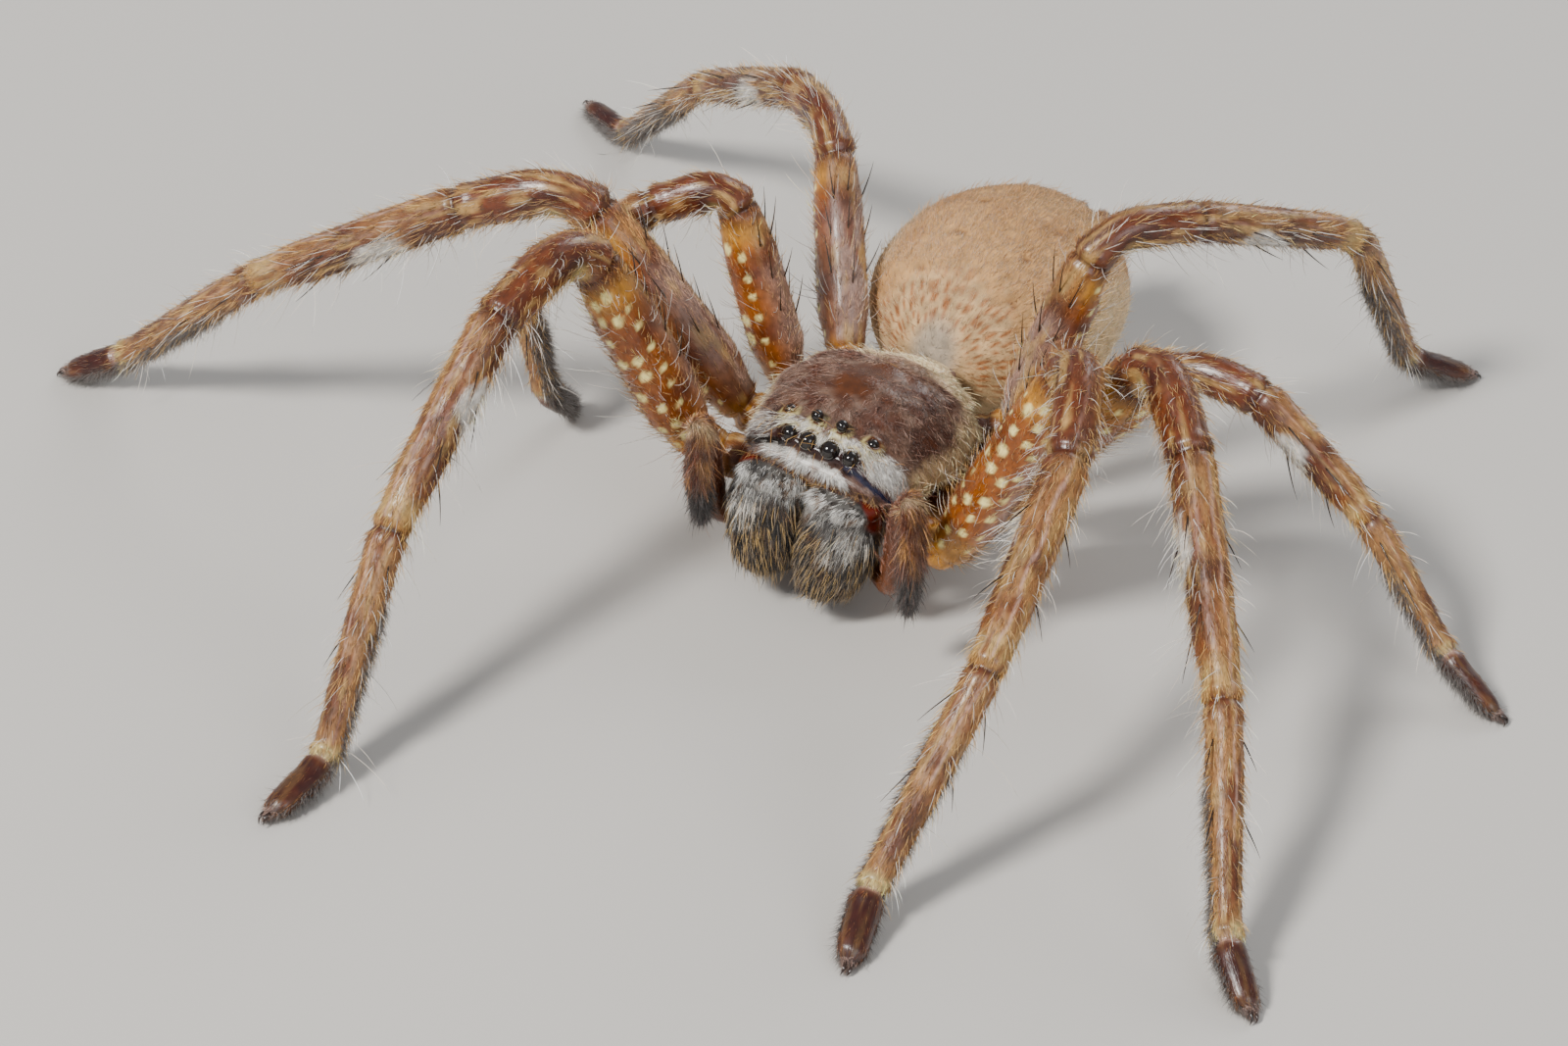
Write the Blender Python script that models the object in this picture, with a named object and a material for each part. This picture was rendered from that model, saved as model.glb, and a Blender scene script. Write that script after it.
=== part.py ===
"""A female rain spider standing with her legs spread, as a still, life-size model.

Sizes are in millimetres while a shape is worked out, and meshes are made in metres.
World frame: +Z up, the floor at z = 0, nose towards -Y, the spider's left at +X.
The body frame has its origin in the middle of the carapace. It is tipped and lifted into
the world as the spider carries herself, and every hip is placed in it.
"""

import math
import random
from collections import namedtuple

import bmesh
import bpy
from mathutils import Matrix, Vector

MM = 0.001
GAP = 0.3
COLLECTION_NAME = "rain_spider"

# How the body is carried, and how far the model moves so that its outline is centred
BODY_HEIGHT = 7.5
NOSE_DOWN = 5.2
RIGHT_SIDE_UP = 4.2
CENTRING = Vector((4.5, 2.7, 0.0))

# Carapace, front to rear: each pair is a place along Y and the half width or level there
CARAPACE_FRONT = -6.1
CARAPACE_REAR = 5.4
UNDERSIDE_LEVEL = -1.55
CARAPACE_HALF_WIDTHS = ((-6.1, 3.5), (-5.2, 4.2), (-3.2, 4.9), (-1.0, 5.35), (1.4, 4.9),
                        (3.4, 3.5), (5.4, 1.4))
CARAPACE_TOPS = ((-6.1, 1.0), (-5.7, 1.7), (-4.7, 2.5), (-3.2, 2.95), (-1.6, 3.1),
                 (0.6, 2.5), (2.8, 1.2), (4.4, 0.1), (5.4, -0.4))
CARAPACE_RIMS = ((-6.1, 0.1), (-5.0, 0.0), (-4.0, -0.35), (1.0, -0.4), (5.4, -0.8))
# The underside is raised in front, where the jaws hang
CARAPACE_KEELS = ((-4.6, -0.15), (-3.9, UNDERSIDE_LEVEL))
# Power of the sine that domes a section: squarer over the face than over the hips
CARAPACE_DOMES = ((-5.5, 0.7), (-3.0, 1.2))
CARAPACE_SIDES = 24
CARAPACE_ROWS = 15
RIM_THICKNESS = 0.05
PEDICEL_RADIUS = 0.85
PEDICEL_LEVEL = -1.1
# How far the pedicel starts inside the carapace, and how much it rises there
PEDICEL_OVERLAP = 1.2
PEDICEL_RISE = 0.3

# Sternum and mouthparts under the carapace: place along Y, half width, top and bottom
STERNUM_HALF_WIDTH = 2.35
STERNUM_TOP = UNDERSIDE_LEVEL - GAP
STERNUM_STATIONS = (
    (-5.2, 1.3, -3.7, -5.1),
    (-4.3, 1.9, -2.9, -5.1),
    (-3.4, 2.25, STERNUM_TOP, -4.5),
    (-1.0, STERNUM_HALF_WIDTH, STERNUM_TOP, -4.2),
    (2.4, 2.1, STERNUM_TOP, -4.2),
    (4.3, 0.8, STERNUM_TOP, -3.6),
)
STERNUM_SIDES = 14
STERNUM_ROWS = 9

# Abdomen: its middle and its half length, width and height
ABDOMEN_MIDDLE = Vector((-0.5, 13.3, -2.1))
ABDOMEN_HALF = Vector((6.35, 7.2, 5.05))
# Power that rounds its outline, how far its top and underside sag, and how it narrows
ABDOMEN_ROUNDING = 2.2
ABDOMEN_SAG = 0.35
ABDOMEN_TAPER = 0.06
ABDOMEN_SIDES = 24
ABDOMEN_ROWS = 14
# Its first and last section, as shares of its length
FRONT_SHARE = 0.06
TAIL_SHARE = 0.94

# Spinnerets: level, thickness of their common base, then each tube's offset, rise, length
SPINNERET_LEVEL = -2.6
SPINNERET_BASE = 0.8
SPINNERET_TUBES = ((0.42, -0.4, 1.6), (-0.42, -0.4, 1.6), (0.45, 0.35, 1.9),
                   (-0.45, 0.35, 1.9))
SPINNERET_DIAMETER = 0.8
SPINNERET_DROOP = 0.5

# Eyes: place of the left one of each pair and its diameter
EYE_PAIRS = {
    "eye_front_middle": ((0.61, -5.77, 1.96), 0.78),
    "eye_front_outer": ((1.71, -5.63, 1.83), 0.76),
    "eye_rear_middle": ((0.70, -4.81, 2.83), 0.60),
    "eye_rear_outer": ((2.31, -4.58, 2.22), 0.62),
}
EYE_GAP = 0.12
# How much of the radius of each eye lies below its own middle, and how it faces outwards
EYE_DEPTH = 0.2
EYE_LEAN = 0.9

# Chelicerae: share of the length, place of the middle, half width and half depth
CHELICERA_STATIONS = (
    (0.0, 2.1, -6.15, -0.45, 1.8, 1.4),
    (0.3, 2.15, -6.5, -1.6, 1.95, 1.75),
    (0.65, 2.05, -6.95, -3.3, 1.85, 1.65),
    (0.9, 1.9, -7.3, -4.55, 1.45, 1.4),
    (1.0, 1.85, -7.35, -5.05, 0.9, 0.9),
)
CHELICERA_SIDES = 14
CHELICERA_ROWS = 8
FANG_ROOT = (2.2, -6.9, -5.55)
FANG_TIP = (0.55, -6.0, -5.75)
FANG_DIAMETER = 0.75

# Legs, front to back: hip, lengths of the five long segments, and girth against leg 1
LegPair = namedtuple("LegPair", "hip coxa_root lengths girth")
LEG_PAIRS = {
    1: LegPair((7.1, -5.1, -1.8), (2.65, -3.3, -3.0), (14.1, 6.3, 11.1, 11.1, 4.1), 1.0),
    2: LegPair((6.8, -1.3, -2.1), (2.65, -0.95, -3.0), (14.4, 6.0, 12.2, 11.1, 3.7), 1.0),
    3: LegPair((6.3, 2.1, -2.5), (2.65, 1.4, -3.0), (10.7, 4.1, 7.8, 7.3, 4.1), 0.86),
    4: LegPair((4.9, 5.3, -2.4), (2.65, 3.6, -3.0), (11.8, 5.4, 10.8, 10.9, 4.4), 0.90),
}

# Each leg's stance in degrees. swing is the heading of femur, patella, tibia, metatarsus
# and tarsus on the leg's own side, 0 to the nose and 180 to the tail. lift is the climb of
# the first three. The last two come down to the named ankle height and to the floor.
Stance = namedtuple("Stance", "swing lift ankle")
STANCES = {
    ("right", 1): Stance((42, 6, 1, -7, 7), (65, -15, -38), 1.2),
    ("right", 2): Stance((69, 71, 72, 89, 75), (54, -21, -29), 1.9),
    ("right", 3): Stance((90, 63, 60, -135, 174), (71, -21, -33), 2.9),
    ("right", 4): Stance((144, 129, 119, 118, 120), (42, -8, -27), 0.9),
    ("left", 1): Stance((104, 23, 8, -11, 16), (65, -20, -29), 1.7),
    ("left", 2): Stance((95, 44, 38, 31, 49), (54, -20, -30), 1.8),
    ("left", 3): Stance((117, 93, 83, 76, 75), (41, -7, -32), 2.0),
    ("left", 4): Stance((125, 149, 153, 167, 141), (72, -9, -21), 2.1),
}
# How far a foot would reach below the floor before it is cut flat there
FOOT_SINK = 0.1
# How often the foot is laid again until its lowest point is there
FOOT_TRIALS = 5
SEGMENTS = ("femur", "patella", "tibia", "metatarsus", "tarsus")

# How thick leg 1 is, side to side and top to bottom, at fractions of each segment
LEG_GIRTHS = {
    "coxa": ((0.0, 1.9, 2.2), (0.5, 2.4, 2.4), (1.0, 2.2, 2.2)),
    "femur": ((0.0, 2.2, 2.3), (0.22, 2.95, 3.35), (0.6, 2.85, 3.3), (0.9, 2.4, 2.6)),
    "patella": ((0.0, 2.3, 2.3), (0.5, 2.35, 2.6), (1.0, 2.2, 2.35)),
    "tibia": ((0.0, 2.1, 2.15), (0.25, 2.3, 2.45), (0.7, 2.15, 2.3), (1.0, 1.8, 1.85)),
    "metatarsus": ((0.0, 1.75, 1.8), (0.2, 1.85, 1.9), (1.0, 1.5, 1.55)),
    "tarsus": ((0.0, 1.4, 1.4), (0.35, 1.7, 1.55), (0.8, 1.6, 1.35), (1.0, 0.8, 0.8)),
}
LEG_SIDES = 10
BEND_STEP = 0.9
STRAIGHT_STEP = 2.2
INNER_BEND_KEEP = 0.8

# Reach of the rounding at hip, knee and each later joint, in fractions of the patella
BEND_REACHES = (0.2, 0.42, 0.25, 0.3, 0.2)
# Where femur and patella part, before the middle of the knee bend
KNEE_CUT = 0.3

# Palps: body-frame corners of the left one and of the right one, root to tip
PALPS = {
    "left": ((2.65, -4.85, -4.7), (4.9, -6.6, -4.0), (5.3, -6.9, 0.9),
             (6.35, -7.8, 3.1), (7.2, -9.0, 1.1), (7.25, -9.1, -2.3)),
    "right": ((-2.65, -4.85, -4.7), (-4.9, -6.6, -4.0), (-5.6, -6.7, 0.9),
              (-5.1, -8.0, 2.4), (-5.0, -8.4, 0.0), (-4.8, -8.2, -3.3)),
}
PALP_GIRTHS = (1.1, 1.2, 1.15, 1.2, 1.25, 0.7)
PALP_REACHES = (0.6, 0.8, 0.8, 0.5)
# The palp is parted this far before its top corner
PALP_CUT = 0.9
PALP_TOP_CORNER = 3
# A direction that no stretch of a palp follows, from which its sections are turned
PALP_GUIDE = Vector((0.3, 1.0, 0.2))
PALP_SIDES = 8

# Spines: diameter at the root, length, lean from the surface normal, and how deep they sink
SPINE_DIAMETER = 0.5
SPINE_LENGTH = 2.3
SPINE_LEAN = 52.0
SPINE_SINK = 0.7
SPINE_CLEARANCE = 0.45
# How many points of another leg a spine's tip is tested against
NEARNESS_STEPS = 60
# Rows of spines: segment, place round the leg in degrees from its back, and fractions along
SPINE_ROWS = (
    ("femur", 0, (0.35, 0.58, 0.8)),
    ("femur", 55, (0.42, 0.7)),
    ("femur", 305, (0.42, 0.7)),
    ("tibia", 75, (0.3, 0.65)),
    ("tibia", 285, (0.3, 0.65)),
    ("metatarsus", 80, (0.2, 0.5)),
    ("metatarsus", 280, (0.2, 0.5)),
)

BODY_TO_WORLD = (
    Matrix.Translation(Vector((0.0, 0.0, BODY_HEIGHT)) + CENTRING)
    @ Matrix.Rotation(math.radians(RIGHT_SIDE_UP), 4, "Y")
    @ Matrix.Rotation(math.radians(NOSE_DOWN), 4, "X")
)


def clear_scene():
    for item in list(bpy.data.objects):
        bpy.data.objects.remove(item)


def make_material(name, colour, roughness):
    material = bpy.data.materials.new(name)
    material.use_nodes = True
    shader = material.node_tree.nodes["Principled BSDF"]
    shader.inputs["Base Color"].default_value = (*colour, 1.0)
    shader.inputs["Roughness"].default_value = roughness
    shader.inputs["Metallic"].default_value = 0.0
    return material


def blend_along(stations, place):
    """Values between stations (place, value, value...), eased so that they join smoothly."""
    if place <= stations[0][0]:
        return stations[0][1:]
    for before, after in zip(stations, stations[1:]):
        if place <= after[0]:
            share = (place - before[0]) / (after[0] - before[0])
            share = share * share * (3.0 - 2.0 * share)
            return tuple(a + (b - a) * share for a, b in zip(before[1:], after[1:]))
    return stations[-1][1:]


def loft(rings, transform=Matrix.Identity(4)):
    """A closed solid through rings of the same number of points, with flat ends."""
    mesh = bmesh.new()
    loops = [[mesh.verts.new(transform @ point) for point in ring] for ring in rings]
    count = len(loops[0])
    for lower, upper in zip(loops, loops[1:]):
        for i in range(count):
            j = (i + 1) % count
            mesh.faces.new((lower[i], lower[j], upper[j], upper[i]))
    mesh.faces.new(list(reversed(loops[0])))
    mesh.faces.new(loops[-1])
    bmesh.ops.triangulate(mesh, faces=mesh.faces)
    bmesh.ops.recalc_face_normals(mesh, faces=mesh.faces)
    return mesh


def cone(root, tip, diameter, sides):
    """A spine: a sharp cone from root to tip."""
    axis = tip - root
    turn = Vector((0.0, 0.0, 1.0)).rotation_difference(axis).to_matrix().to_4x4()
    mesh = bmesh.new()
    bmesh.ops.create_cone(
        mesh, cap_ends=True, segments=sides, radius1=diameter / 2.0, radius2=0.0,
        depth=axis.length, matrix=Matrix.Translation((root + tip) / 2.0) @ turn,
    )
    return mesh


def scratch_object(name, mesh):
    data = bpy.data.meshes.new(name)
    mesh.to_mesh(data)
    mesh.free()
    return bpy.data.objects.new(name, data)


def largest_surface(mesh):
    """Keep the closed surface with the most faces, and drop scraps that a union left."""
    left = set(mesh.faces)
    islands = []
    while left:
        island = set()
        front = [left.pop()]
        while front:
            face = front.pop()
            island.add(face)
            for edge in face.edges:
                for other in edge.link_faces:
                    if other in left:
                        left.remove(other)
                        front.append(other)
        islands.append(island)
    islands.sort(key=len)
    for island in islands[:-1]:
        bmesh.ops.delete(mesh, geom=list(island), context="FACES")
    return mesh


def fused(core, extras):
    """The union of a solid and the solids that grow from it, as one closed surface."""
    if not extras:
        return core
    scene_collection = bpy.context.scene.collection
    grown = bpy.data.collections.new("grown")
    scene_collection.children.link(grown)
    core_object = scratch_object("core", core)
    scene_collection.objects.link(core_object)
    pieces = [scratch_object("extra", extra) for extra in extras]
    for piece in pieces:
        grown.objects.link(piece)
    union = core_object.modifiers.new("union", "BOOLEAN")
    union.operation = "UNION"
    union.operand_type = "COLLECTION"
    union.collection = grown
    union.solver = "EXACT"
    bpy.context.view_layer.update()
    evaluated = core_object.evaluated_get(bpy.context.evaluated_depsgraph_get())
    result = bmesh.new()
    result.from_mesh(evaluated.to_mesh())
    evaluated.to_mesh_clear()
    for item in pieces + [core_object]:
        bpy.data.objects.remove(item)
    bpy.data.collections.remove(grown)
    bmesh.ops.triangulate(result, faces=result.faces)
    return largest_surface(result)


def add_node(name, mesh, material):
    """Make the named object, in metres, from a mesh that was worked out in millimetres."""
    bmesh.ops.scale(mesh, vec=(MM, MM, MM), verts=mesh.verts)
    node = scratch_object(name, mesh)
    node.data.materials.append(material)
    node.data.shade_smooth()
    node.data.set_sharp_from_angle(angle=math.radians(50))
    bpy.data.collections[COLLECTION_NAME].objects.link(node)


class BentPath:
    """A path through corners, where each inner corner is rounded over its own reach."""

    def __init__(self, corners, reaches):
        self.corners = corners
        self.reaches = reaches
        self.marks = [0.0]
        for a, b in zip(corners, corners[1:]):
            self.marks.append(self.marks[-1] + (b - a).length)

    def direction(self, i):
        return (self.corners[i + 1] - self.corners[i]).normalized()

    def at(self, s):
        """Point, tangent, and the bend there as a vector of length 1 / radius."""
        for i in range(1, len(self.corners) - 1):
            reach = self.reaches[i - 1]
            past = s - self.marks[i]
            if abs(past) < reach:
                before = self.direction(i - 1)
                after = self.direction(i)
                point = (self.corners[i] - before * (reach - past) ** 2 / (4 * reach)
                         + after * (reach + past) ** 2 / (4 * reach))
                speed = (before * (reach - past) + after * (reach + past)) / (2 * reach)
                pull = (after - before) / (2 * reach)
                tangent = speed.normalized()
                bend = (pull - tangent * pull.dot(tangent)) / speed.length_squared
                return point, tangent, bend
        i = max(k for k in range(len(self.marks) - 1) if s >= self.marks[k] or k == 0)
        tangent = self.direction(i)
        return self.corners[i] + tangent * (s - self.marks[i]), tangent, Vector()

    def stations(self, start, end):
        """Places along the path, closer together where it bends."""
        places = [start]
        while places[-1] < end:
            here = places[-1]
            bent = any(abs(here + BEND_STEP / 2 - self.marks[i + 1]) < self.reaches[i]
                       for i in range(len(self.reaches)))
            places.append(here + (BEND_STEP if bent else STRAIGHT_STEP))
        places[-1] = end
        if len(places) > 2 and end - places[-2] < BEND_STEP / 2:
            del places[-2]
        return places


class Leg:
    """One leg: its path in the world and its girth along it."""

    def __init__(self, side_name, number):
        self.side = 1.0 if side_name == "left" else -1.0
        self.name = f"leg_{side_name}_{number}"
        self.girth = LEG_PAIRS[number].girth
        tip_height = 0.0
        for _ in range(FOOT_TRIALS):
            self.lay(LEG_PAIRS[number], STANCES[side_name, number], tip_height)
            tip_height -= self.lowest_point() + FOOT_SINK

    def lay(self, pair, stance, tip_height):
        """Work out the path and the places of the cuts for one height of the foot's tip."""
        corners = [self.placed(pair.coxa_root), self.placed(pair.hip)]
        lifts = [math.radians(angle) for angle in stance.lift]
        for i, length in enumerate(pair.lengths):
            if i == 3:
                lifts.append(math.asin((stance.ankle - corners[-1].z) / length))
            if i == 4:
                lifts.append(math.asin((tip_height - corners[-1].z) / length))
            heading = math.radians(stance.swing[i])
            step = Vector((self.side * math.sin(heading) * math.cos(lifts[i]),
                           -math.cos(heading) * math.cos(lifts[i]), math.sin(lifts[i])))
            corners.append(corners[-1] + step * length)
        reaches = [share * pair.lengths[1] for share in BEND_REACHES]
        self.path = BentPath(corners, reaches)
        femur = self.path.direction(1)
        tibia = self.path.direction(3)
        self.hinge = femur.cross(tibia).normalized()
        marks = self.path.marks
        knee_cut = marks[2] - KNEE_CUT * pair.lengths[1]
        self.cuts = [0.0, knee_cut] + marks[3:7]
        self.girth_stations = self.list_girths(marks)

    def lowest_point(self):
        tarsus = self.path.stations(self.cuts[4], self.cuts[5])
        return min(point.z for s in tarsus for point in self.ring(s))

    def placed(self, place):
        return BODY_TO_WORLD @ Vector((self.side * place[0], place[1], place[2]))

    def list_girths(self, marks):
        stations = []
        for i, segment in enumerate(("coxa",) + SEGMENTS):
            length = marks[i + 1] - marks[i]
            for share, width, height in LEG_GIRTHS[segment]:
                place = marks[i] + share * length
                if not stations or place > stations[-1][0] + 0.2:
                    stations.append((place, width * self.girth, height * self.girth))
        return stations

    def frame(self, s):
        """Point, tangent, the leg's back, its front side and the bend of its path."""
        point, tangent, bend = self.path.at(s)
        back = tangent.cross(self.hinge).normalized()
        fore = tangent.cross(back) * self.side
        return point, tangent, back, fore, bend

    def offset(self, s, turn):
        """From the axis to the surface, turn degrees round from the back to the front."""
        point, tangent, back, fore, bend = self.frame(s)
        width, height = blend_along(self.girth_stations, s)
        angle = math.radians(turn)
        away = back * (math.cos(angle) * height / 2) + fore * (math.sin(angle) * width / 2)
        if bend.length > 1e-6:
            inward = bend.normalized()
            room = INNER_BEND_KEEP / bend.length
            excess = away.dot(inward) - room
            if excess > 0:
                away -= inward * excess
        return away

    def ring(self, s):
        point = self.frame(s)[0]
        return [point + self.offset(s, 360.0 * i / LEG_SIDES) for i in range(LEG_SIDES)]

    def solid(self, number):
        start = self.cuts[number] + (GAP / 2 if number else 0.0)
        end = self.cuts[number + 1] - (GAP / 2 if number < 4 else 0.0)
        return loft([self.ring(s) for s in self.path.stations(start, end)])

    def spine(self, segment, turn, share, draw):
        number = SEGMENTS.index(segment)
        start = self.path.marks[number + 1]
        length = self.path.marks[number + 2] - start
        s = start + length * (share + draw.uniform(-0.03, 0.03))
        point, tangent, back, fore, bend = self.frame(s)
        away = self.offset(s, turn + draw.uniform(-8, 8))
        lean = math.radians(SPINE_LEAN + draw.uniform(-6, 6))
        heading = away.normalized() * math.cos(lean) + tangent * math.sin(lean)
        surface = point + away
        reach = SPINE_LENGTH * (0.7 + 0.3 * self.girth) * draw.uniform(0.85, 1.1)
        return surface - heading * SPINE_SINK, surface + heading * reach

    def is_near(self, point, clearance):
        """Whether a point comes closer to this leg's surface than the clearance."""
        total = self.path.marks[-1]
        for i in range(NEARNESS_STEPS + 1):
            s = total * i / NEARNESS_STEPS
            girth = max(blend_along(self.girth_stations, s))
            if (self.path.at(s)[0] - point).length < girth / 2 + clearance:
                return True
        return False


def signed_power(value, power):
    return math.copysign(abs(value) ** power, value)


def carapace_ring(y):
    """A section across the carapace: domed above the rim, hollowed to a flat keel below."""
    half = blend_along(CARAPACE_HALF_WIDTHS, y)[0]
    top = blend_along(CARAPACE_TOPS, y)[0]
    rim = blend_along(CARAPACE_RIMS, y)[0]
    keel = blend_along(CARAPACE_KEELS, y)[0]
    dome = blend_along(CARAPACE_DOMES, y)[0]
    points = []
    for i in range(CARAPACE_SIDES):
        angle = 2.0 * math.pi * i / CARAPACE_SIDES
        x = half * signed_power(math.cos(angle), 0.9)
        rise = math.sin(angle)
        if rise >= 0:
            z = rim + (top - rim) * rise ** dome
        else:
            slope = (abs(x) - STERNUM_HALF_WIDTH) / max(half - STERNUM_HALF_WIDTH, 0.5)
            z = min(keel + max(slope, 0.0) * (rim - keel), rim - RIM_THICKNESS)
        points.append(Vector((x, y, z)))
    return points


def make_carapace(shell):
    span = CARAPACE_REAR - CARAPACE_FRONT
    rings = []
    for i in range(CARAPACE_ROWS + 1):
        share = i / CARAPACE_ROWS
        eased = 0.5 - 0.5 * math.cos(math.pi * share)
        y = CARAPACE_FRONT + span * (0.5 * share + 0.5 * eased)
        rings.append(carapace_ring(y))
    dome = loft(rings, BODY_TO_WORLD)
    stalk_start = Vector((0.0, CARAPACE_REAR - PEDICEL_OVERLAP, PEDICEL_LEVEL + PEDICEL_RISE))
    abdomen_front = ABDOMEN_MIDDLE.y - ABDOMEN_HALF.y
    stalk_end = Vector((0.0, abdomen_front - 0.02, PEDICEL_LEVEL))
    stalk = bmesh.new()
    axis = stalk_end - stalk_start
    turn = Vector((0.0, 0.0, 1.0)).rotation_difference(axis).to_matrix().to_4x4()
    middle = Matrix.Translation((stalk_start + stalk_end) / 2)
    bmesh.ops.create_cone(
        stalk, cap_ends=True, segments=10, radius1=PEDICEL_RADIUS * 1.1,
        radius2=PEDICEL_RADIUS, depth=axis.length, matrix=BODY_TO_WORLD @ middle @ turn,
    )
    add_node("carapace", fused(dome, [stalk]), shell)


def make_sternum(shell):
    """The heart-shaped breastplate, with the lip and jaws' base as its front lobe."""
    front = STERNUM_STATIONS[0][0]
    rear = STERNUM_STATIONS[-1][0]
    rings = []
    for i in range(STERNUM_ROWS + 1):
        y = front + (rear - front) * i / STERNUM_ROWS
        half, top, bottom = blend_along(STERNUM_STATIONS, y)
        ring = []
        for k in range(STERNUM_SIDES):
            angle = 2.0 * math.pi * (k + 0.5) / STERNUM_SIDES
            x = half * signed_power(math.cos(angle), 0.5)
            z = (top - bottom) / 2 * signed_power(math.sin(angle), 0.5)
            ring.append(Vector((x, y, (top + bottom) / 2 + z)))
        rings.append(ring)
    add_node("sternum", loft(rings, BODY_TO_WORLD), shell)


def abdomen_ring(share):
    """A section across the abdomen, share from 0 at its front to 1 at its tail."""
    along = -math.cos(math.pi * share)
    y = ABDOMEN_MIDDLE.y + ABDOMEN_HALF.y * along
    full = (1.0 - abs(along) ** ABDOMEN_ROUNDING) ** 0.5
    half = ABDOMEN_HALF.x * full * (1.0 - ABDOMEN_TAPER * along)
    tall = ABDOMEN_HALF.z * full
    points = []
    for i in range(ABDOMEN_SIDES):
        angle = 2.0 * math.pi * i / ABDOMEN_SIDES
        sag = -ABDOMEN_SAG * full * math.sin(angle) ** 2
        points.append(Vector((ABDOMEN_MIDDLE.x + half * math.cos(angle), y,
                              ABDOMEN_MIDDLE.z + tall * math.sin(angle) + sag)))
    return points


def make_abdomen(velvet):
    span = TAIL_SHARE - FRONT_SHARE
    rings = [abdomen_ring(FRONT_SHARE + span * i / ABDOMEN_ROWS)
             for i in range(ABDOMEN_ROWS + 1)]
    add_node("abdomen", loft(rings, BODY_TO_WORLD), velvet)


def make_spinnerets(dark):
    """Four short tubes on one base, just behind the last section of the abdomen."""
    rear = abdomen_ring(TAIL_SHARE)[0].y + GAP
    middle = Vector((ABDOMEN_MIDDLE.x, rear + SPINNERET_BASE / 2, SPINNERET_LEVEL))
    base = bmesh.new()
    bmesh.ops.create_cone(
        base, cap_ends=True, segments=10, radius1=1.05, radius2=0.9, depth=SPINNERET_BASE,
        matrix=BODY_TO_WORLD @ Matrix.Translation(middle)
        @ Matrix.Rotation(math.radians(-90), 4, "X"),
    )
    tubes = []
    for x, rise, length in SPINNERET_TUBES:
        root = middle + Vector((x, 0.0, rise))
        tip = middle + Vector((x * 1.5, length, rise - SPINNERET_DROOP))
        tubes.append(cone(BODY_TO_WORLD @ root, BODY_TO_WORLD @ tip, SPINNERET_DIAMETER, 6))
    add_node("spinnerets", fused(base, tubes), dark)


def make_eyes(glass):
    for name, (place, diameter) in EYE_PAIRS.items():
        for side_name, side in (("left", 1.0), ("right", -1.0)):
            middle = Vector((side * place[0], place[1], place[2]))
            inner = Vector((middle.x * EYE_LEAN, middle.y + EYE_LEAN, middle.z - EYE_LEAN))
            outward = (middle - inner).normalized()
            turn = Vector((0.0, 0.0, 1.0)).rotation_difference(outward)
            dome = bmesh.new()
            bmesh.ops.create_uvsphere(dome, u_segments=10, v_segments=6,
                                      radius=diameter / 2)
            cut = bmesh.ops.bisect_plane(
                dome, geom=dome.verts[:] + dome.edges[:] + dome.faces[:],
                plane_co=(0.0, 0.0, -EYE_DEPTH * diameter / 2), plane_no=(0.0, 0.0, 1.0),
                clear_inner=True,
            )
            rim = [item for item in cut["geom_cut"] if isinstance(item, bmesh.types.BMEdge)]
            bmesh.ops.contextual_create(dome, geom=rim)
            bmesh.ops.triangulate(dome, faces=dome.faces)
            bmesh.ops.transform(
                dome, verts=dome.verts,
                matrix=BODY_TO_WORLD @ Matrix.Translation(middle + outward * EYE_GAP)
                @ turn.to_matrix().to_4x4(),
            )
            add_node(f"{name}_{side_name}", dome, glass)


def make_jaws(hide, horn):
    """Chelicerae: two stout swollen blocks under the face, each with a folded fang."""
    for side_name, side in (("left", 1.0), ("right", -1.0)):
        rings = []
        for i in range(CHELICERA_ROWS + 1):
            x, y, z, half_width, half_depth = blend_along(CHELICERA_STATIONS,
                                                          i / CHELICERA_ROWS)
            ring = []
            for k in range(CHELICERA_SIDES):
                angle = 2.0 * math.pi * k / CHELICERA_SIDES
                ring.append(Vector((side * (x + half_width * math.cos(angle)),
                                    y + half_depth * math.sin(angle), z)))
            rings.append(ring)
        add_node(f"chelicera_{side_name}", loft(rings, BODY_TO_WORLD), hide)
        root = BODY_TO_WORLD @ Vector((side * FANG_ROOT[0], *FANG_ROOT[1:]))
        tip = BODY_TO_WORLD @ Vector((side * FANG_TIP[0], *FANG_TIP[1:]))
        fang = cone(root, tip, FANG_DIAMETER, 8)
        add_node(f"fang_{side_name}", fang, horn)


def make_palps(hide, brush):
    for side_name, corners in PALPS.items():
        path = BentPath([BODY_TO_WORLD @ Vector(corner) for corner in corners],
                        PALP_REACHES)
        girths = list(zip(path.marks, PALP_GIRTHS))

        def ring(s, path=path, girths=girths):
            point, tangent, bend = path.at(s)
            radius = blend_along(girths, s)[0] / 2
            side_on = tangent.cross(PALP_GUIDE).normalized()
            across = tangent.cross(side_on)
            points = []
            for i in range(PALP_SIDES):
                angle = 2.0 * math.pi * i / PALP_SIDES
                away = side_on * (radius * math.cos(angle)) + across * (
                    radius * math.sin(angle))
                if bend.length > 1e-6:
                    inward = bend.normalized()
                    excess = away.dot(inward) - INNER_BEND_KEEP / bend.length
                    away -= inward * max(excess, 0.0)
                points.append(point + away)
            return points

        cut = path.marks[PALP_TOP_CORNER] - PALP_CUT
        upper = [ring(s) for s in path.stations(0.0, cut - GAP / 2)]
        lower = [ring(s) for s in path.stations(cut + GAP / 2, path.marks[-1])]
        add_node(f"palp_base_{side_name}", loft(upper), hide)
        add_node(f"palp_foot_{side_name}", loft(lower), brush)


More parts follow.
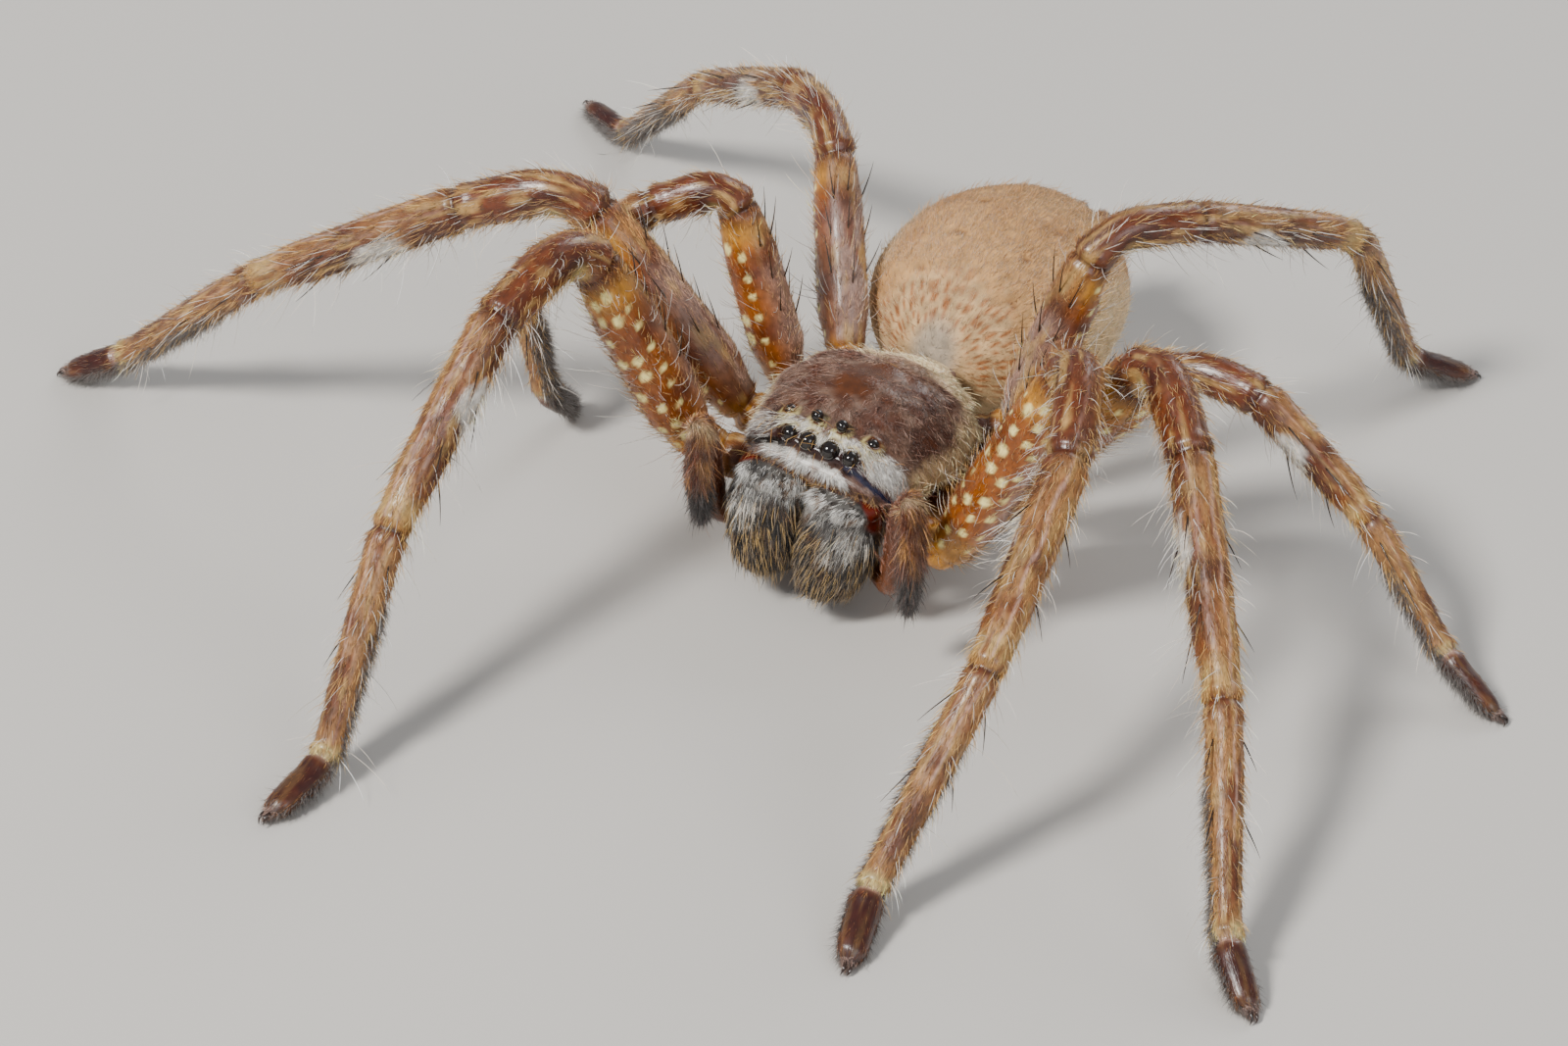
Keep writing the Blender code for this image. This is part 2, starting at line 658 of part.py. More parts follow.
def make_legs(materials):
    legs = [Leg(side_name, number) for side_name, number in STANCES]
    draw = random.Random(7)
    for leg in legs:
        others = [other for other in legs if other is not leg]
        spines = {segment: [] for segment in SEGMENTS}
        for segment, turn, shares in SPINE_ROWS:
            for share in shares:
                root, tip = leg.spine(segment, turn, share, draw)
                clear = not any(other.is_near(tip, SPINE_CLEARANCE) for other in others)
                if clear and tip.z > SPINE_CLEARANCE:
                    spines[segment].append(cone(root, tip, SPINE_DIAMETER, 4))
        for number, segment in enumerate(SEGMENTS):
            solid = fused(leg.solid(number), spines[segment])
            if segment == "tarsus":
                solid = stood_on_floor(solid)
            add_node(f"{leg.name}_{segment}", solid, materials[segment])


def stood_on_floor(mesh):
    """Cut a foot flat where it meets the floor."""
    geometry = mesh.verts[:] + mesh.edges[:] + mesh.faces[:]
    cut = bmesh.ops.bisect_plane(mesh, geom=geometry, plane_co=(0.0, 0.0, 0.0),
                                 plane_no=(0.0, 0.0, 1.0), clear_inner=True)
    rim = [item for item in cut["geom_cut"] if isinstance(item, bmesh.types.BMEdge)]
    bmesh.ops.contextual_create(mesh, geom=rim)
    bmesh.ops.triangulate(mesh, faces=mesh.faces)
    bmesh.ops.remove_doubles(mesh, verts=mesh.verts, dist=0.02)
    return mesh


def main():
    clear_scene()
    collection = bpy.data.collections.new(COLLECTION_NAME)
    bpy.context.scene.collection.children.link(collection)
    mahogany = make_material("mahogany_shell", (0.16, 0.055, 0.03), 0.5)
    amber = make_material("amber_hide", (0.40, 0.13, 0.02), 0.4)
    brown = make_material("brown_hide", (0.23, 0.07, 0.03), 0.45)
    tan = make_material("tan_hide", (0.28, 0.14, 0.07), 0.7)
    dark = make_material("dark_hide", (0.09, 0.05, 0.04), 0.6)
    velvet = make_material("buff_velvet", (0.48, 0.26, 0.12), 0.9)
    grizzled = make_material("grizzled_hide", (0.25, 0.22, 0.20), 0.8)
    horn = make_material("black_horn", (0.02, 0.01, 0.01), 0.25)
    glass = make_material("black_eye", (0.01, 0.01, 0.01), 0.08)
    make_carapace(mahogany)
    make_sternum(brown)
    make_abdomen(velvet)
    make_spinnerets(dark)
    make_eyes(glass)
    make_jaws(grizzled, horn)
    make_palps(brown, dark)
    make_legs({"femur": amber, "patella": brown, "tibia": brown,
               "metatarsus": tan, "tarsus": dark})


main()
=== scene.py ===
"""The looks of a female rain spider, standing with her legs spread, over her fixed solids.

Shapes are worked out in millimetres and meshes are made in metres. World frame: +Z up, the
floor at z = 0, nose towards -Y, the spider's left at +X. The body frame has its origin in
the middle of the carapace. Every skin is a grid of points, and each coat is grown on one.
"""

import math
from collections import namedtuple

import bpy
import numpy as np
from mathutils import Matrix, Quaternion, Vector


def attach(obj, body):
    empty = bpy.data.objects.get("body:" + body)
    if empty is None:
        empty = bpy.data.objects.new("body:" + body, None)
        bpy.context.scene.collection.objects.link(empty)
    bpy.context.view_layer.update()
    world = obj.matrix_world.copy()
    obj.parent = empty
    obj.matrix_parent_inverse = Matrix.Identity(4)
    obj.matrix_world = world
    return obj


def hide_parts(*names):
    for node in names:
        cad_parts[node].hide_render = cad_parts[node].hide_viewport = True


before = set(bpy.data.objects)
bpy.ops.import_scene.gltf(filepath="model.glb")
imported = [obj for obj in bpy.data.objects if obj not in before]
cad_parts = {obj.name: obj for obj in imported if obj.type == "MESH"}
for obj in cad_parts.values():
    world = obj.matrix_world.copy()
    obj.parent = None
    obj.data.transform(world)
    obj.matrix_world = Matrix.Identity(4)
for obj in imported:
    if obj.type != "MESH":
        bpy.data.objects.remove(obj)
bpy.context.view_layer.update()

MM = 0.001

# How the body is carried
BODY_HEIGHT = 7.5
NOSE_DOWN = 5.2
RIGHT_SIDE_UP = 4.2
CENTRING = Vector((4.5, 2.7, 0.0))
BODY_TO_WORLD = (
    Matrix.Translation(Vector((0.0, 0.0, BODY_HEIGHT)) + CENTRING)
    @ Matrix.Rotation(math.radians(RIGHT_SIDE_UP), 4, "Y")
    @ Matrix.Rotation(math.radians(NOSE_DOWN), 4, "X")
)
BODY_TURN = np.array(BODY_TO_WORLD.to_3x3())
BODY_PLACE = np.array(BODY_TO_WORLD.translation)

# How deep the skin lies under the outline that the short coat fills
COAT_DEPTH = 0.09

# Carapace, front to rear: each pair is a place along Y and the half width or level there
CARAPACE_FRONT = -6.1
CARAPACE_REAR = 5.4
UNDERSIDE_LEVEL = -1.55
CARAPACE_HALF_WIDTHS = ((-6.1, 3.5), (-5.2, 4.2), (-3.2, 4.9), (-1.0, 5.35), (1.4, 4.9),
                        (3.4, 3.5), (5.4, 1.4))
CARAPACE_TOPS = ((-6.1, 1.0), (-5.7, 1.7), (-4.7, 2.5), (-3.2, 2.95), (-1.6, 3.1),
                 (0.6, 2.5), (2.8, 1.2), (4.4, 0.1), (5.4, -0.4))
CARAPACE_RIMS = ((-6.1, 0.1), (-5.0, 0.0), (-4.0, -0.35), (1.0, -0.4), (5.4, -0.8))
CARAPACE_KEELS = ((-4.6, -0.15), (-3.9, UNDERSIDE_LEVEL))
CARAPACE_DOMES = ((-5.5, 0.7), (-3.0, 1.2))
FOVEA_PLACE = 1.6
FURROW_REACH = 4.6
FURROW_BEARINGS = (38, 72, 105, 140)
STERNUM_HALF_WIDTH = 2.35
STERNUM_TOP = UNDERSIDE_LEVEL - 0.3
STERNUM_STATIONS = (
    (-5.2, 1.3, -3.7, -5.1),
    (-4.3, 1.9, -2.9, -5.1),
    (-3.4, 2.25, STERNUM_TOP, -4.5),
    (-1.0, STERNUM_HALF_WIDTH, STERNUM_TOP, -4.2),
    (2.4, 2.1, STERNUM_TOP, -4.2),
    (4.3, 0.8, STERNUM_TOP, -3.6),
)

# Abdomen
ABDOMEN_MIDDLE = Vector((-0.5, 13.3, -2.1))
ABDOMEN_HALF = Vector((6.35, 7.2, 5.05))
ABDOMEN_ROUNDING = 2.2
ABDOMEN_SAG = 0.35
ABDOMEN_TAPER = 0.06
FRONT_OF_ABDOMEN = ABDOMEN_MIDDLE.y - ABDOMEN_HALF.y
FAN_LEVEL = -1.9
DIMPLE_PAIRS = ((2.6, 9.35, 0.22), (1.85, 11.8, 0.26), (2.2, 14.7, 0.24))
TAIL_SHARE = 0.94
SPINNERET_LEVEL = -2.6
SPINNERET_TUBES = ((0.42, -0.4, 1.6), (-0.42, -0.4, 1.6), (0.45, 0.35, 1.9),
                   (-0.45, 0.35, 1.9))

# Eyes: place of the left one of each pair and its diameter
EYE_PAIRS = {
    "eye_front_middle": ((0.61, -5.77, 1.96), 0.78),
    "eye_front_outer": ((1.71, -5.63, 1.83), 0.76),
    "eye_rear_middle": ((0.70, -4.81, 2.83), 0.60),
    "eye_rear_outer": ((2.31, -4.58, 2.22), 0.62),
}
EYE_LEAN = 0.9
EYE_SINK = 0.16
EYE_SWELL = {"eye_front_middle": 1.2, "eye_front_outer": 1.1, "eye_rear_middle": 1.04,
             "eye_rear_outer": 1.04}

# Markings of the face, and the places where light and shade are painted on it, as lines through
# points on it. All but the first and the last lie on its left half and are mirrored.
CLYPEUS_BAND = ((-2.5, -6.0, 1.0), (-1.1, -6.05, 1.02), (0.4, -6.05, 0.98),
                (1.4, -6.05, 0.82))
# A bare black streak beside the eyes; the blue painted on it is a reflection of the sky, on the
# left side only
REFLECTING_STREAK = ((1.65, -5.8, 1.38), (2.7, -5.89, 1.08), (3.66, -5.77, 0.55),
               (4.0, -5.4, 0.1))
CHEEK = ((2.5, -5.31, 1.74), (3.43, -5.04, 1.52), (4.15, -4.8, 0.77))
BETWEEN_EYES = ((0.0, -5.3, 2.15), (0.45, -5.1, 2.2), (1.24, -5.07, 2.19),
                (2.09, -5.11, 2.02))
FRONT_EYE_ROW = ((0.0, -5.95, 1.7), (0.61, -5.9, 1.85), (1.71, -5.75, 1.7),
                 (2.3, -5.7, 1.5))
# Painted shade on the far, right side of the face, along these points; not mirrored
SHADED_FAR_SIDE = ((-2.7, -4.7, 2.0), (-2.6, -5.3, 1.7), (-3.3, -5.75, 1.0))

# Chelicerae: share of the length, place of the middle, half width and half depth
CHELICERA_STATIONS = (
    (0.0, 2.1, -6.15, -0.45, 1.8, 1.4),
    (0.3, 2.15, -6.5, -1.6, 1.95, 1.75),
    (0.65, 2.05, -6.95, -3.3, 1.85, 1.65),
    (0.9, 1.9, -7.3, -4.55, 1.45, 1.4),
    (1.0, 1.85, -7.35, -5.05, 0.9, 0.9),
)
JAW_TUFTS = ((0.8, -6.8, -0.1), (2.2, -7.0, 0.0), (3.1, -7.3, -0.7), (2.8, -8.0, -1.7))
JAW_BOSS = (3.55, -6.15, -0.45)
FANG_ROOT = (2.2, -6.9, -5.4)
FANG_KNEE = (1.5, -6.95, -6.0)
FANG_TIP = (0.55, -6.0, -5.85)

# Palps: body-frame corners of the left one and of the right one, root to tip
PALPS = {
    "left": ((2.65, -4.85, -4.7), (4.9, -6.6, -4.0), (5.3, -6.9, 0.9),
             (6.35, -7.8, 3.1), (7.2, -9.0, 1.1), (7.25, -9.1, -2.3)),
    "right": ((-2.65, -4.85, -4.7), (-4.9, -6.6, -4.0), (-5.6, -6.7, 0.9),
              (-5.1, -8.0, 2.4), (-5.0, -8.4, 0.0), (-4.8, -8.2, -3.3)),
}
PALP_GIRTHS = (1.1, 1.2, 1.15, 1.2, 1.25, 0.7)
PALP_REACHES = (0.6, 0.8, 0.8, 0.5)
PALP_GUIDE = Vector((0.3, 1.0, 0.2))

# Legs, front to back: hip, lengths of the five long segments, and girth against leg 1
LegPair = namedtuple("LegPair", "hip coxa_root lengths girth")
LEG_PAIRS = {
    1: LegPair((7.1, -5.1, -1.8), (2.65, -3.3, -3.0), (14.1, 6.3, 11.1, 11.1, 4.1), 1.0),
    2: LegPair((6.8, -1.3, -2.1), (2.65, -0.95, -3.0), (14.4, 6.0, 12.2, 11.1, 3.7), 1.0),
    3: LegPair((6.3, 2.1, -2.5), (2.65, 1.4, -3.0), (10.7, 4.1, 7.8, 7.3, 4.1), 0.86),
    4: LegPair((4.9, 5.3, -2.4), (2.65, 3.6, -3.0), (11.8, 5.4, 10.8, 10.9, 4.4), 0.90),
}
Stance = namedtuple("Stance", "swing lift ankle")
STANCES = {
    ("right", 1): Stance((42, 6, 1, -7, 7), (65, -15, -38), 1.2),
    ("right", 2): Stance((69, 71, 72, 89, 75), (54, -21, -29), 1.9),
    ("right", 3): Stance((90, 63, 60, -135, 174), (71, -21, -33), 2.9),
    ("right", 4): Stance((144, 129, 119, 118, 120), (42, -8, -27), 0.9),
    ("left", 1): Stance((104, 23, 8, -11, 16), (65, -20, -29), 1.7),
    ("left", 2): Stance((95, 44, 38, 31, 49), (54, -20, -30), 1.8),
    ("left", 3): Stance((117, 93, 83, 76, 75), (41, -7, -32), 2.0),
    ("left", 4): Stance((125, 149, 153, 167, 141), (72, -9, -21), 2.1),
}
FOOT_SINK = 0.1
FOOT_TRIALS = 5
FLOOR_GAP = 0.03
SEGMENTS = ("coxa", "femur", "patella", "tibia", "metatarsus", "tarsus")
LEG_GIRTHS = {
    "coxa": ((0.0, 1.9, 2.2), (0.5, 2.4, 2.4), (1.0, 2.2, 2.2)),
    "femur": ((0.0, 2.2, 2.3), (0.22, 2.95, 3.35), (0.6, 2.85, 3.3), (0.9, 2.4, 2.6)),
    "patella": ((0.0, 2.3, 2.3), (0.5, 2.35, 2.6), (1.0, 2.2, 2.35)),
    "tibia": ((0.0, 2.1, 2.15), (0.25, 2.3, 2.45), (0.7, 2.15, 2.3), (1.0, 1.8, 1.85)),
    "metatarsus": ((0.0, 1.75, 1.8), (0.2, 1.85, 1.9), (1.0, 1.5, 1.55)),
    "tarsus": ((0.0, 1.4, 1.4), (0.35, 1.7, 1.55), (0.8, 1.6, 1.35), (1.0, 0.8, 0.8)),
}
INNER_BEND_KEEP = 0.8
BEND_REACHES = (0.2, 0.42, 0.25, 0.3, 0.2)
KNEE_CUT = 0.3
TIP_ROUNDING = 1.3
# A usual leg's length, and the radius of its femur that turns degrees into arcs
USUAL_LEG = 52.0
FEMUR_RADIUS = 1.45
# Rows of pale spots on the femur: turn and largest radius
SPOT_ROWS = ((103, 0.18), (136, 0.3), (168, 0.27), (202, 0.2))
# Hairless lines along a leg: turn, half width in degrees and strength
BARE_LINES = ((4, 4.5, 1.0), (52, 3.2, 0.4), (312, 3.2, 0.5))
# Rows of spines on a leg: segment, turn and shares of the segment's length
SPINE_ROWS = ((1, 5, (0.34, 0.58, 0.8)), (1, 48, (0.42, 0.6, 0.78)), (1, 310, (0.4, 0.62, 0.8)),
              (3, 75, (0.28, 0.62)), (3, 285, (0.3, 0.64)), (3, 150, (0.35, 0.7)),
              (4, 80, (0.15, 0.45)), (4, 280, (0.15, 0.45)))
LEG_SIDES = 44
LEG_STEP = 0.16

# The camera's bearing, climb and roll in degrees, its distance from the point that it turns
# about and that point's offset in its own view, in millimetres, then its angle of view
CAMERA_AZIMUTH = 30.2
CAMERA_ELEVATION = 34.93
CAMERA_ROLL = 1.72
CAMERA_DISTANCE = 277.3
CAMERA_OFFSET = (-4.367, -3.484)
CAMERA_LEVEL = 5.0
CAMERA_ANGLE = 15.65


def rgb(red, green, streak_reflection):
    """A colour given as it shows on a screen, 0 to 255, as linear light."""
    share = np.array((red, green, streak_reflection), float) / 255.0
    return np.where(share <= 0.04045, share / 12.92, ((share + 0.055) / 1.055) ** 2.4)


# The animal's colours
TINTS = {
    "amber": rgb(140, 74, 12),
    "rust": rgb(100, 44, 14),
    "oxblood": rgb(66, 22, 12),
    "honey": rgb(188, 128, 38),
    "tan": rgb(184, 130, 74),
    "straw": rgb(218, 178, 108),
    "cream": rgb(255, 238, 156),
    "white": rgb(246, 242, 234),
    "mauve": rgb(184, 150, 136),
    "umber": rgb(104, 54, 28),
    "mahogany": rgb(86, 44, 26),
    "lilac": rgb(152, 124, 106),
    "chestnut": rgb(82, 42, 14),
    "charcoal": rgb(62, 56, 56),
    "ash": rgb(118, 112, 108),
    "sky_reflection_blue": rgb(28, 32, 66),
    # Blue of the sky, painted as a reflection on the black streak beside the eyes
    "black": rgb(18, 13, 12),
    "buff": rgb(212, 164, 106),
    "sand": rgb(232, 206, 160),
    "slate": rgb(150, 154, 152),
    "brick": rgb(166, 96, 42),
    "scarlet": rgb(96, 24, 8),
}
# Colours of each face of a segment, from its near end to its far end at even steps
LEG_MARKINGS = {
    "coxa": {
        "back": "umber umber honey", "fore": "umber rust honey",
        "belly": "rust honey honey", "rear": "umber umber honey"},
    "femur": {
        "back": "umber mauve mauve mauve mauve mauve umber tan umber",
        "fore": "honey amber amber rust amber amber rust amber honey rust",
        "belly": "honey honey amber amber amber amber amber amber honey rust",
        "rear": "umber mauve mauve mauve mauve mauve mauve umber umber"},
    "patella": {
        "back": "umber umber rust umber rust umber umber",
        "fore": "umber rust oxblood oxblood rust rust oxblood",
        "belly": "rust straw cream rust amber rust rust",
        "rear": "umber tan tan tan tan umber umber"},
    "tibia": {
        "back": "umber tan tan tan tan umber tan tan tan straw tan",
        "fore": "rust rust umber tan umber oxblood rust rust amber straw honey",
        "belly": "rust rust rust tan rust oxblood oxblood rust amber straw honey",
        "rear": "tan tan straw straw tan tan tan tan straw straw tan"},
    "metatarsus": {
        "back": "umber tan tan tan umber tan umber umber umber tan cream",
        "fore": "umber tan tan tan tan tan tan tan tan tan cream",
        "belly": "umber tan charcoal charcoal charcoal charcoal charcoal charcoal charcoal",
        "rear": "umber tan tan tan umber tan tan tan tan tan cream"},
    "tarsus": {
        "back": "umber oxblood oxblood oxblood oxblood oxblood",
        "fore": "umber oxblood oxblood umber charcoal",
        "belly": "charcoal charcoal charcoal charcoal",
        "rear": "umber oxblood oxblood umber charcoal"},
}
FACE_TURNS = {"back": 0.0, "fore": 90.0, "belly": 180.0, "rear": 270.0}


def smooth(share):
    share = np.clip(share, 0.0, 1.0)
    return share * share * (3.0 - 2.0 * share)


def ramp(low, high, value):
    """From 0 at low to 1 at high, eased at both ends."""
    return smooth((np.asarray(value, float) - low) / (high - low))


def hill(middle, reach, value):
    """1 at the middle, falling to 0 at the reach to either side."""
    return smooth(1.0 - np.abs(np.asarray(value, float) - middle) / reach)


def bell(value, middle, width):
    """1 at the middle, falling away evenly to both sides."""
    return np.exp(-((value - middle) / width) ** 2)


def degrees_apart(turn, middle):
    """How far a turn is from the middle one, from -180 to 180."""
    return (turn - middle + 180.0) % 360.0 - 180.0


def once_round(count):
    """Angles in radians at even steps."""
    return np.arange(count) * 2.0 * np.pi / count


def spokes(first, second, turn):
    """For each pair of crossed directions, the directions at all turns between them."""
    return (first[:, None, :] * np.cos(turn)[None, :, None]
            + second[:, None, :] * np.sin(turn)[None, :, None])


def mix(first, second, share):
    share = np.asarray(share, float)[..., None]
    return np.asarray(first) * (1.0 - share) + np.asarray(second) * share


def tinted(colour, *layers):
    """A colour under layers of others, each a tint's name or value and its share."""
    for tint, share in layers:
        colour = mix(colour, TINTS[tint] if isinstance(tint, str) else tint, share)
    return colour


def unit(vectors):
    return vectors / np.maximum(np.linalg.norm(vectors, axis=-1, keepdims=True), 1e-9)


def placed(points):
    """Body-frame points in the world."""
    return np.asarray(points, float) @ BODY_TURN.T + BODY_PLACE


def body_coordinates(world):
    return (world - BODY_PLACE) @ BODY_TURN


def blend_along(stations, place):
    """Values between stations (place, value, value...), eased so that they join smoothly."""
    if place <= stations[0][0]:
        return stations[0][1:]
    for before, after in zip(stations, stations[1:]):
        if place <= after[0]:
            share = smooth((place - before[0]) / (after[0] - before[0]))
            return tuple(a + (b - a) * share for a, b in zip(before[1:], after[1:]))
    return stations[-1][1:]


def noise(points, cell, seed):
    """Smooth noise from 0 to 1 whose features are about one cell across."""
    count = 24
    table = np.random.RandomState(seed).rand(count, count, count)
    place = np.asarray(points, float) / cell
    base = np.floor(place).astype(int)
    share = smooth(place - base)
    total = 0.0
    for corner in np.ndindex(2, 2, 2):
        weight = 1.0
        for axis in range(3):
            near = share[..., axis] if corner[axis] else 1.0 - share[..., axis]
            weight = weight * near
        index = tuple((base[..., axis] + corner[axis]) % count for axis in range(3))
        total = total + weight * table[index]
    return total


def faces_colour(segment, share, turn):
    """Colour between the four faces of a leg segment."""
    total = 0.0
    weights = 0.0
    for face, middle in FACE_TURNS.items():
        names = LEG_MARKINGS[segment][face].split()
        stops = np.array([TINTS[name] for name in names])
        place = np.clip(share, 0.0, 1.0) * (len(names) - 1)
        index = np.minimum(place.astype(int), len(names) - 2)
        along = mix(stops[index], stops[index + 1], smooth(place - index))
        near = np.maximum(np.cos(np.radians(turn - middle)), 0.0) ** 1.6
        total = total + along * near[..., None]
        weights = weights + near
    return total / weights[..., None]


class BentPath:
    """A path through corners, where each inner corner is rounded over its own reach."""

    def __init__(self, corners, reaches):
        self.corners = corners
        self.reaches = reaches
        self.marks = [0.0]
        for a, b in zip(corners, corners[1:]):
            self.marks.append(self.marks[-1] + (b - a).length)

    def direction(self, i):
        return (self.corners[i + 1] - self.corners[i]).normalized()

    def at(self, s):
        """Point, tangent, and the bend there as a vector of length 1 / radius."""
        for i in range(1, len(self.corners) - 1):
            reach = self.reaches[i - 1]
            past = s - self.marks[i]
            if abs(past) < reach:
                before = self.direction(i - 1)
                after = self.direction(i)
                point = (self.corners[i] - before * (reach - past) ** 2 / (4 * reach)
                         + after * (reach + past) ** 2 / (4 * reach))
                speed = (before * (reach - past) + after * (reach + past)) / (2 * reach)
                pull = (after - before) / (2 * reach)
                tangent = speed.normalized()
                bend = (pull - tangent * pull.dot(tangent)) / speed.length_squared
                return point, tangent, bend
        i = max(k for k in range(len(self.marks) - 1) if s >= self.marks[k] or k == 0)
        tangent = self.direction(i)
        return self.corners[i] + tangent * (s - self.marks[i]), tangent, Vector()


def eased_inward(away, bends):
    """Hold the inner side of a bend back from the bend's own middle."""
    strength = np.linalg.norm(bends, axis=-1)
    inward = unit(bends)[:, None, :]
    reach = np.sum(away * inward, axis=-1)
    room = (INNER_BEND_KEEP / np.maximum(strength, 1e-6))[:, None]
    softness = 0.12
    held = room - softness * np.logaddexp(0.0, (room - reach) / softness)
    excess = np.where((strength > 1e-6)[:, None], np.maximum(reach - held, 0.0), 0.0)
    near = ramp(0.0, 0.5, reach)
    return away - inward * (excess * near)[..., None]


def outward_power(value, power):
    return np.sign(value) * np.abs(value) ** power


class Grid:
    """A skin: rows of points, each row a closed loop, with a colour and a gloss at each."""

    def __init__(self, points, along=None, around=None):
        self.points = points
        self.along = along
        self.around = around
        self.tint = np.ones(points.shape)
        self.gloss = np.zeros(points.shape[:2])
        self.flow = points.copy()
        self.find_directions()

    def find_directions(self):
        forward = np.gradient(self.points, axis=0)
        sideways = (np.roll(self.points, -1, axis=1) - np.roll(self.points, 1, axis=1)) / 2
        self.lie = unit(forward)
        self.normal = unit(np.cross(sideways, forward))
        middle = self.points.mean(axis=1, keepdims=True)
        if np.sum(self.normal * (self.points - middle)) < 0:
            self.normal = -self.normal

    def displace(self, height):
        self.points = self.points + self.normal * height[..., None]
        self.find_directions()

    def place(self):
        """Carry the skin from the body frame into the world."""
        self.points = placed(self.points)
        self.find_directions()

    def keep_above_floor(self):
        self.points[..., 2] = np.maximum(self.points[..., 2], FLOOR_GAP)

    def sample(self, values, row, column):
        """Values at fractional rows and columns."""
        count = values.shape[1]
        i = np.clip(row.astype(int), 0, values.shape[0] - 2)
        j = column.astype(int) % count
        k = (j + 1) % count
        p = row - i
        q = column - np.floor(column)
        if values.ndim == 3:
            p = p[:, None]
            q = q[:, None]
        return ((values[i, j] * (1 - q) + values[i, k] * q) * (1 - p)
                + (values[i + 1, j] * (1 - q) + values[i + 1, k] * q) * p)

    def roots(self, count, density, draw):
        """Random places on the skin, as rows and columns, spread by area and density."""
        across = np.linalg.norm(np.roll(self.points, -1, axis=1) - self.points, axis=-1)
        down = np.linalg.norm(np.diff(self.points, axis=0), axis=-1)
        weight = (across[:-1] * down * density[:-1]).ravel()
        total = np.cumsum(weight)
        cell = np.searchsorted(total, draw.rand(count) * total[-1])
        cell = np.minimum(cell, len(weight) - 1)
        row = cell // self.points.shape[1] + draw.rand(count)
        column = cell % self.points.shape[1] + draw.rand(count)
        return row, column

    def arrays(self):
        """Vertices, faces, and the tint, gloss and flow of each vertex."""
        rows, columns = self.points.shape[:2]
        ends = self.points[[0, -1]].mean(axis=1)
        vertices = np.concatenate((self.points.reshape(-1, 3), ends))
        i, j = np.meshgrid(np.arange(rows - 1), np.arange(columns), indexing="ij")
        k = (j + 1) % columns
        quads = np.stack((i * columns + j, i * columns + k,
                          (i + 1) * columns + k, (i + 1) * columns + j), -1).reshape(-1, 4)
        j, k = j[0], k[0]
        last = (rows - 1) * columns
        first_cap = np.stack((k, j, np.full(columns, rows * columns)), -1)
        last_cap = np.stack((last + j, last + k, np.full(columns, rows * columns + 1)), -1)
        a, b, c = (vertices[quads[:, n]] for n in (0, 1, 3))
        facing = np.sum(np.cross(b - a, c - a)
                        * self.normal[:-1].reshape(-1, 3))
        faces = [quads, first_cap, last_cap]
        if facing < 0:
            faces = [part[:, ::-1] for part in faces]
        painted = [np.concatenate((values.reshape(len(vertices) - 2, -1),
                                   values[[0, -1]].mean(axis=1).reshape(2, -1)))
                   for values in (self.tint, self.gloss, self.flow)]
        return vertices, faces, painted[0], painted[1].ravel(), painted[2]

    def build(self, name, material):
        vertices, faces, tints, gloss, flow = self.arrays()
        return make_mesh(name, vertices, faces, material, tints, gloss, flow)


def make_mesh(name, vertices, face_groups, material, tints, gloss=None, flow=None,
              uvs=None):
    """An object in metres from arrays of millimetre points and of faces. Skins have gloss
    and flow, and coats have a place for each hair on the baked picture."""
    mesh = bpy.data.meshes.new(name)
    loops = np.concatenate([group.ravel() for group in face_groups]).astype(np.int32)
    sizes = np.concatenate([np.full(len(group), group.shape[1]) for group in face_groups])
    starts = np.concatenate(([0], np.cumsum(sizes)[:-1])).astype(np.int32)
    mesh.vertices.add(len(vertices))
    mesh.vertices.foreach_set("co", (np.asarray(vertices) * MM).astype(np.float32).ravel())
    mesh.loops.add(len(loops))
    mesh.loops.foreach_set("vertex_index", loops)
    mesh.polygons.add(len(sizes))
    mesh.polygons.foreach_set("loop_start", starts)
    mesh.update(calc_edges=True)
    mesh.shade_smooth()
    colours = np.ones((len(vertices), 4), np.float32)
    colours[:, :3] = np.clip(tints, 0.0, 1.0)
    layer = mesh.color_attributes.new("tint", "FLOAT_COLOR", "POINT")
    layer.data.foreach_set("color", colours.ravel())
    if gloss is not None:
        layer = mesh.attributes.new("gloss", "FLOAT", "POINT")
        layer.data.foreach_set("value", np.clip(gloss, 0.0, 1.0).astype(np.float32))
        layer = mesh.attributes.new("flow", "FLOAT_VECTOR", "POINT")
        layer.data.foreach_set("vector", np.asarray(flow).astype(np.float32).ravel())
    if uvs is not None:
        layer = mesh.uv_layers.new(name="OFBake")
        layer.data.foreach_set("uv", uvs[loops].astype(np.float32).ravel())
    mesh.validate()
    mesh.materials.append(material)
    thing = bpy.data.objects.new(name, mesh)
    bpy.context.scene.collection.objects.link(thing)
    return thing


# The patch that each hair's root covers on the baked picture
BAKE_PATCH = 0.003


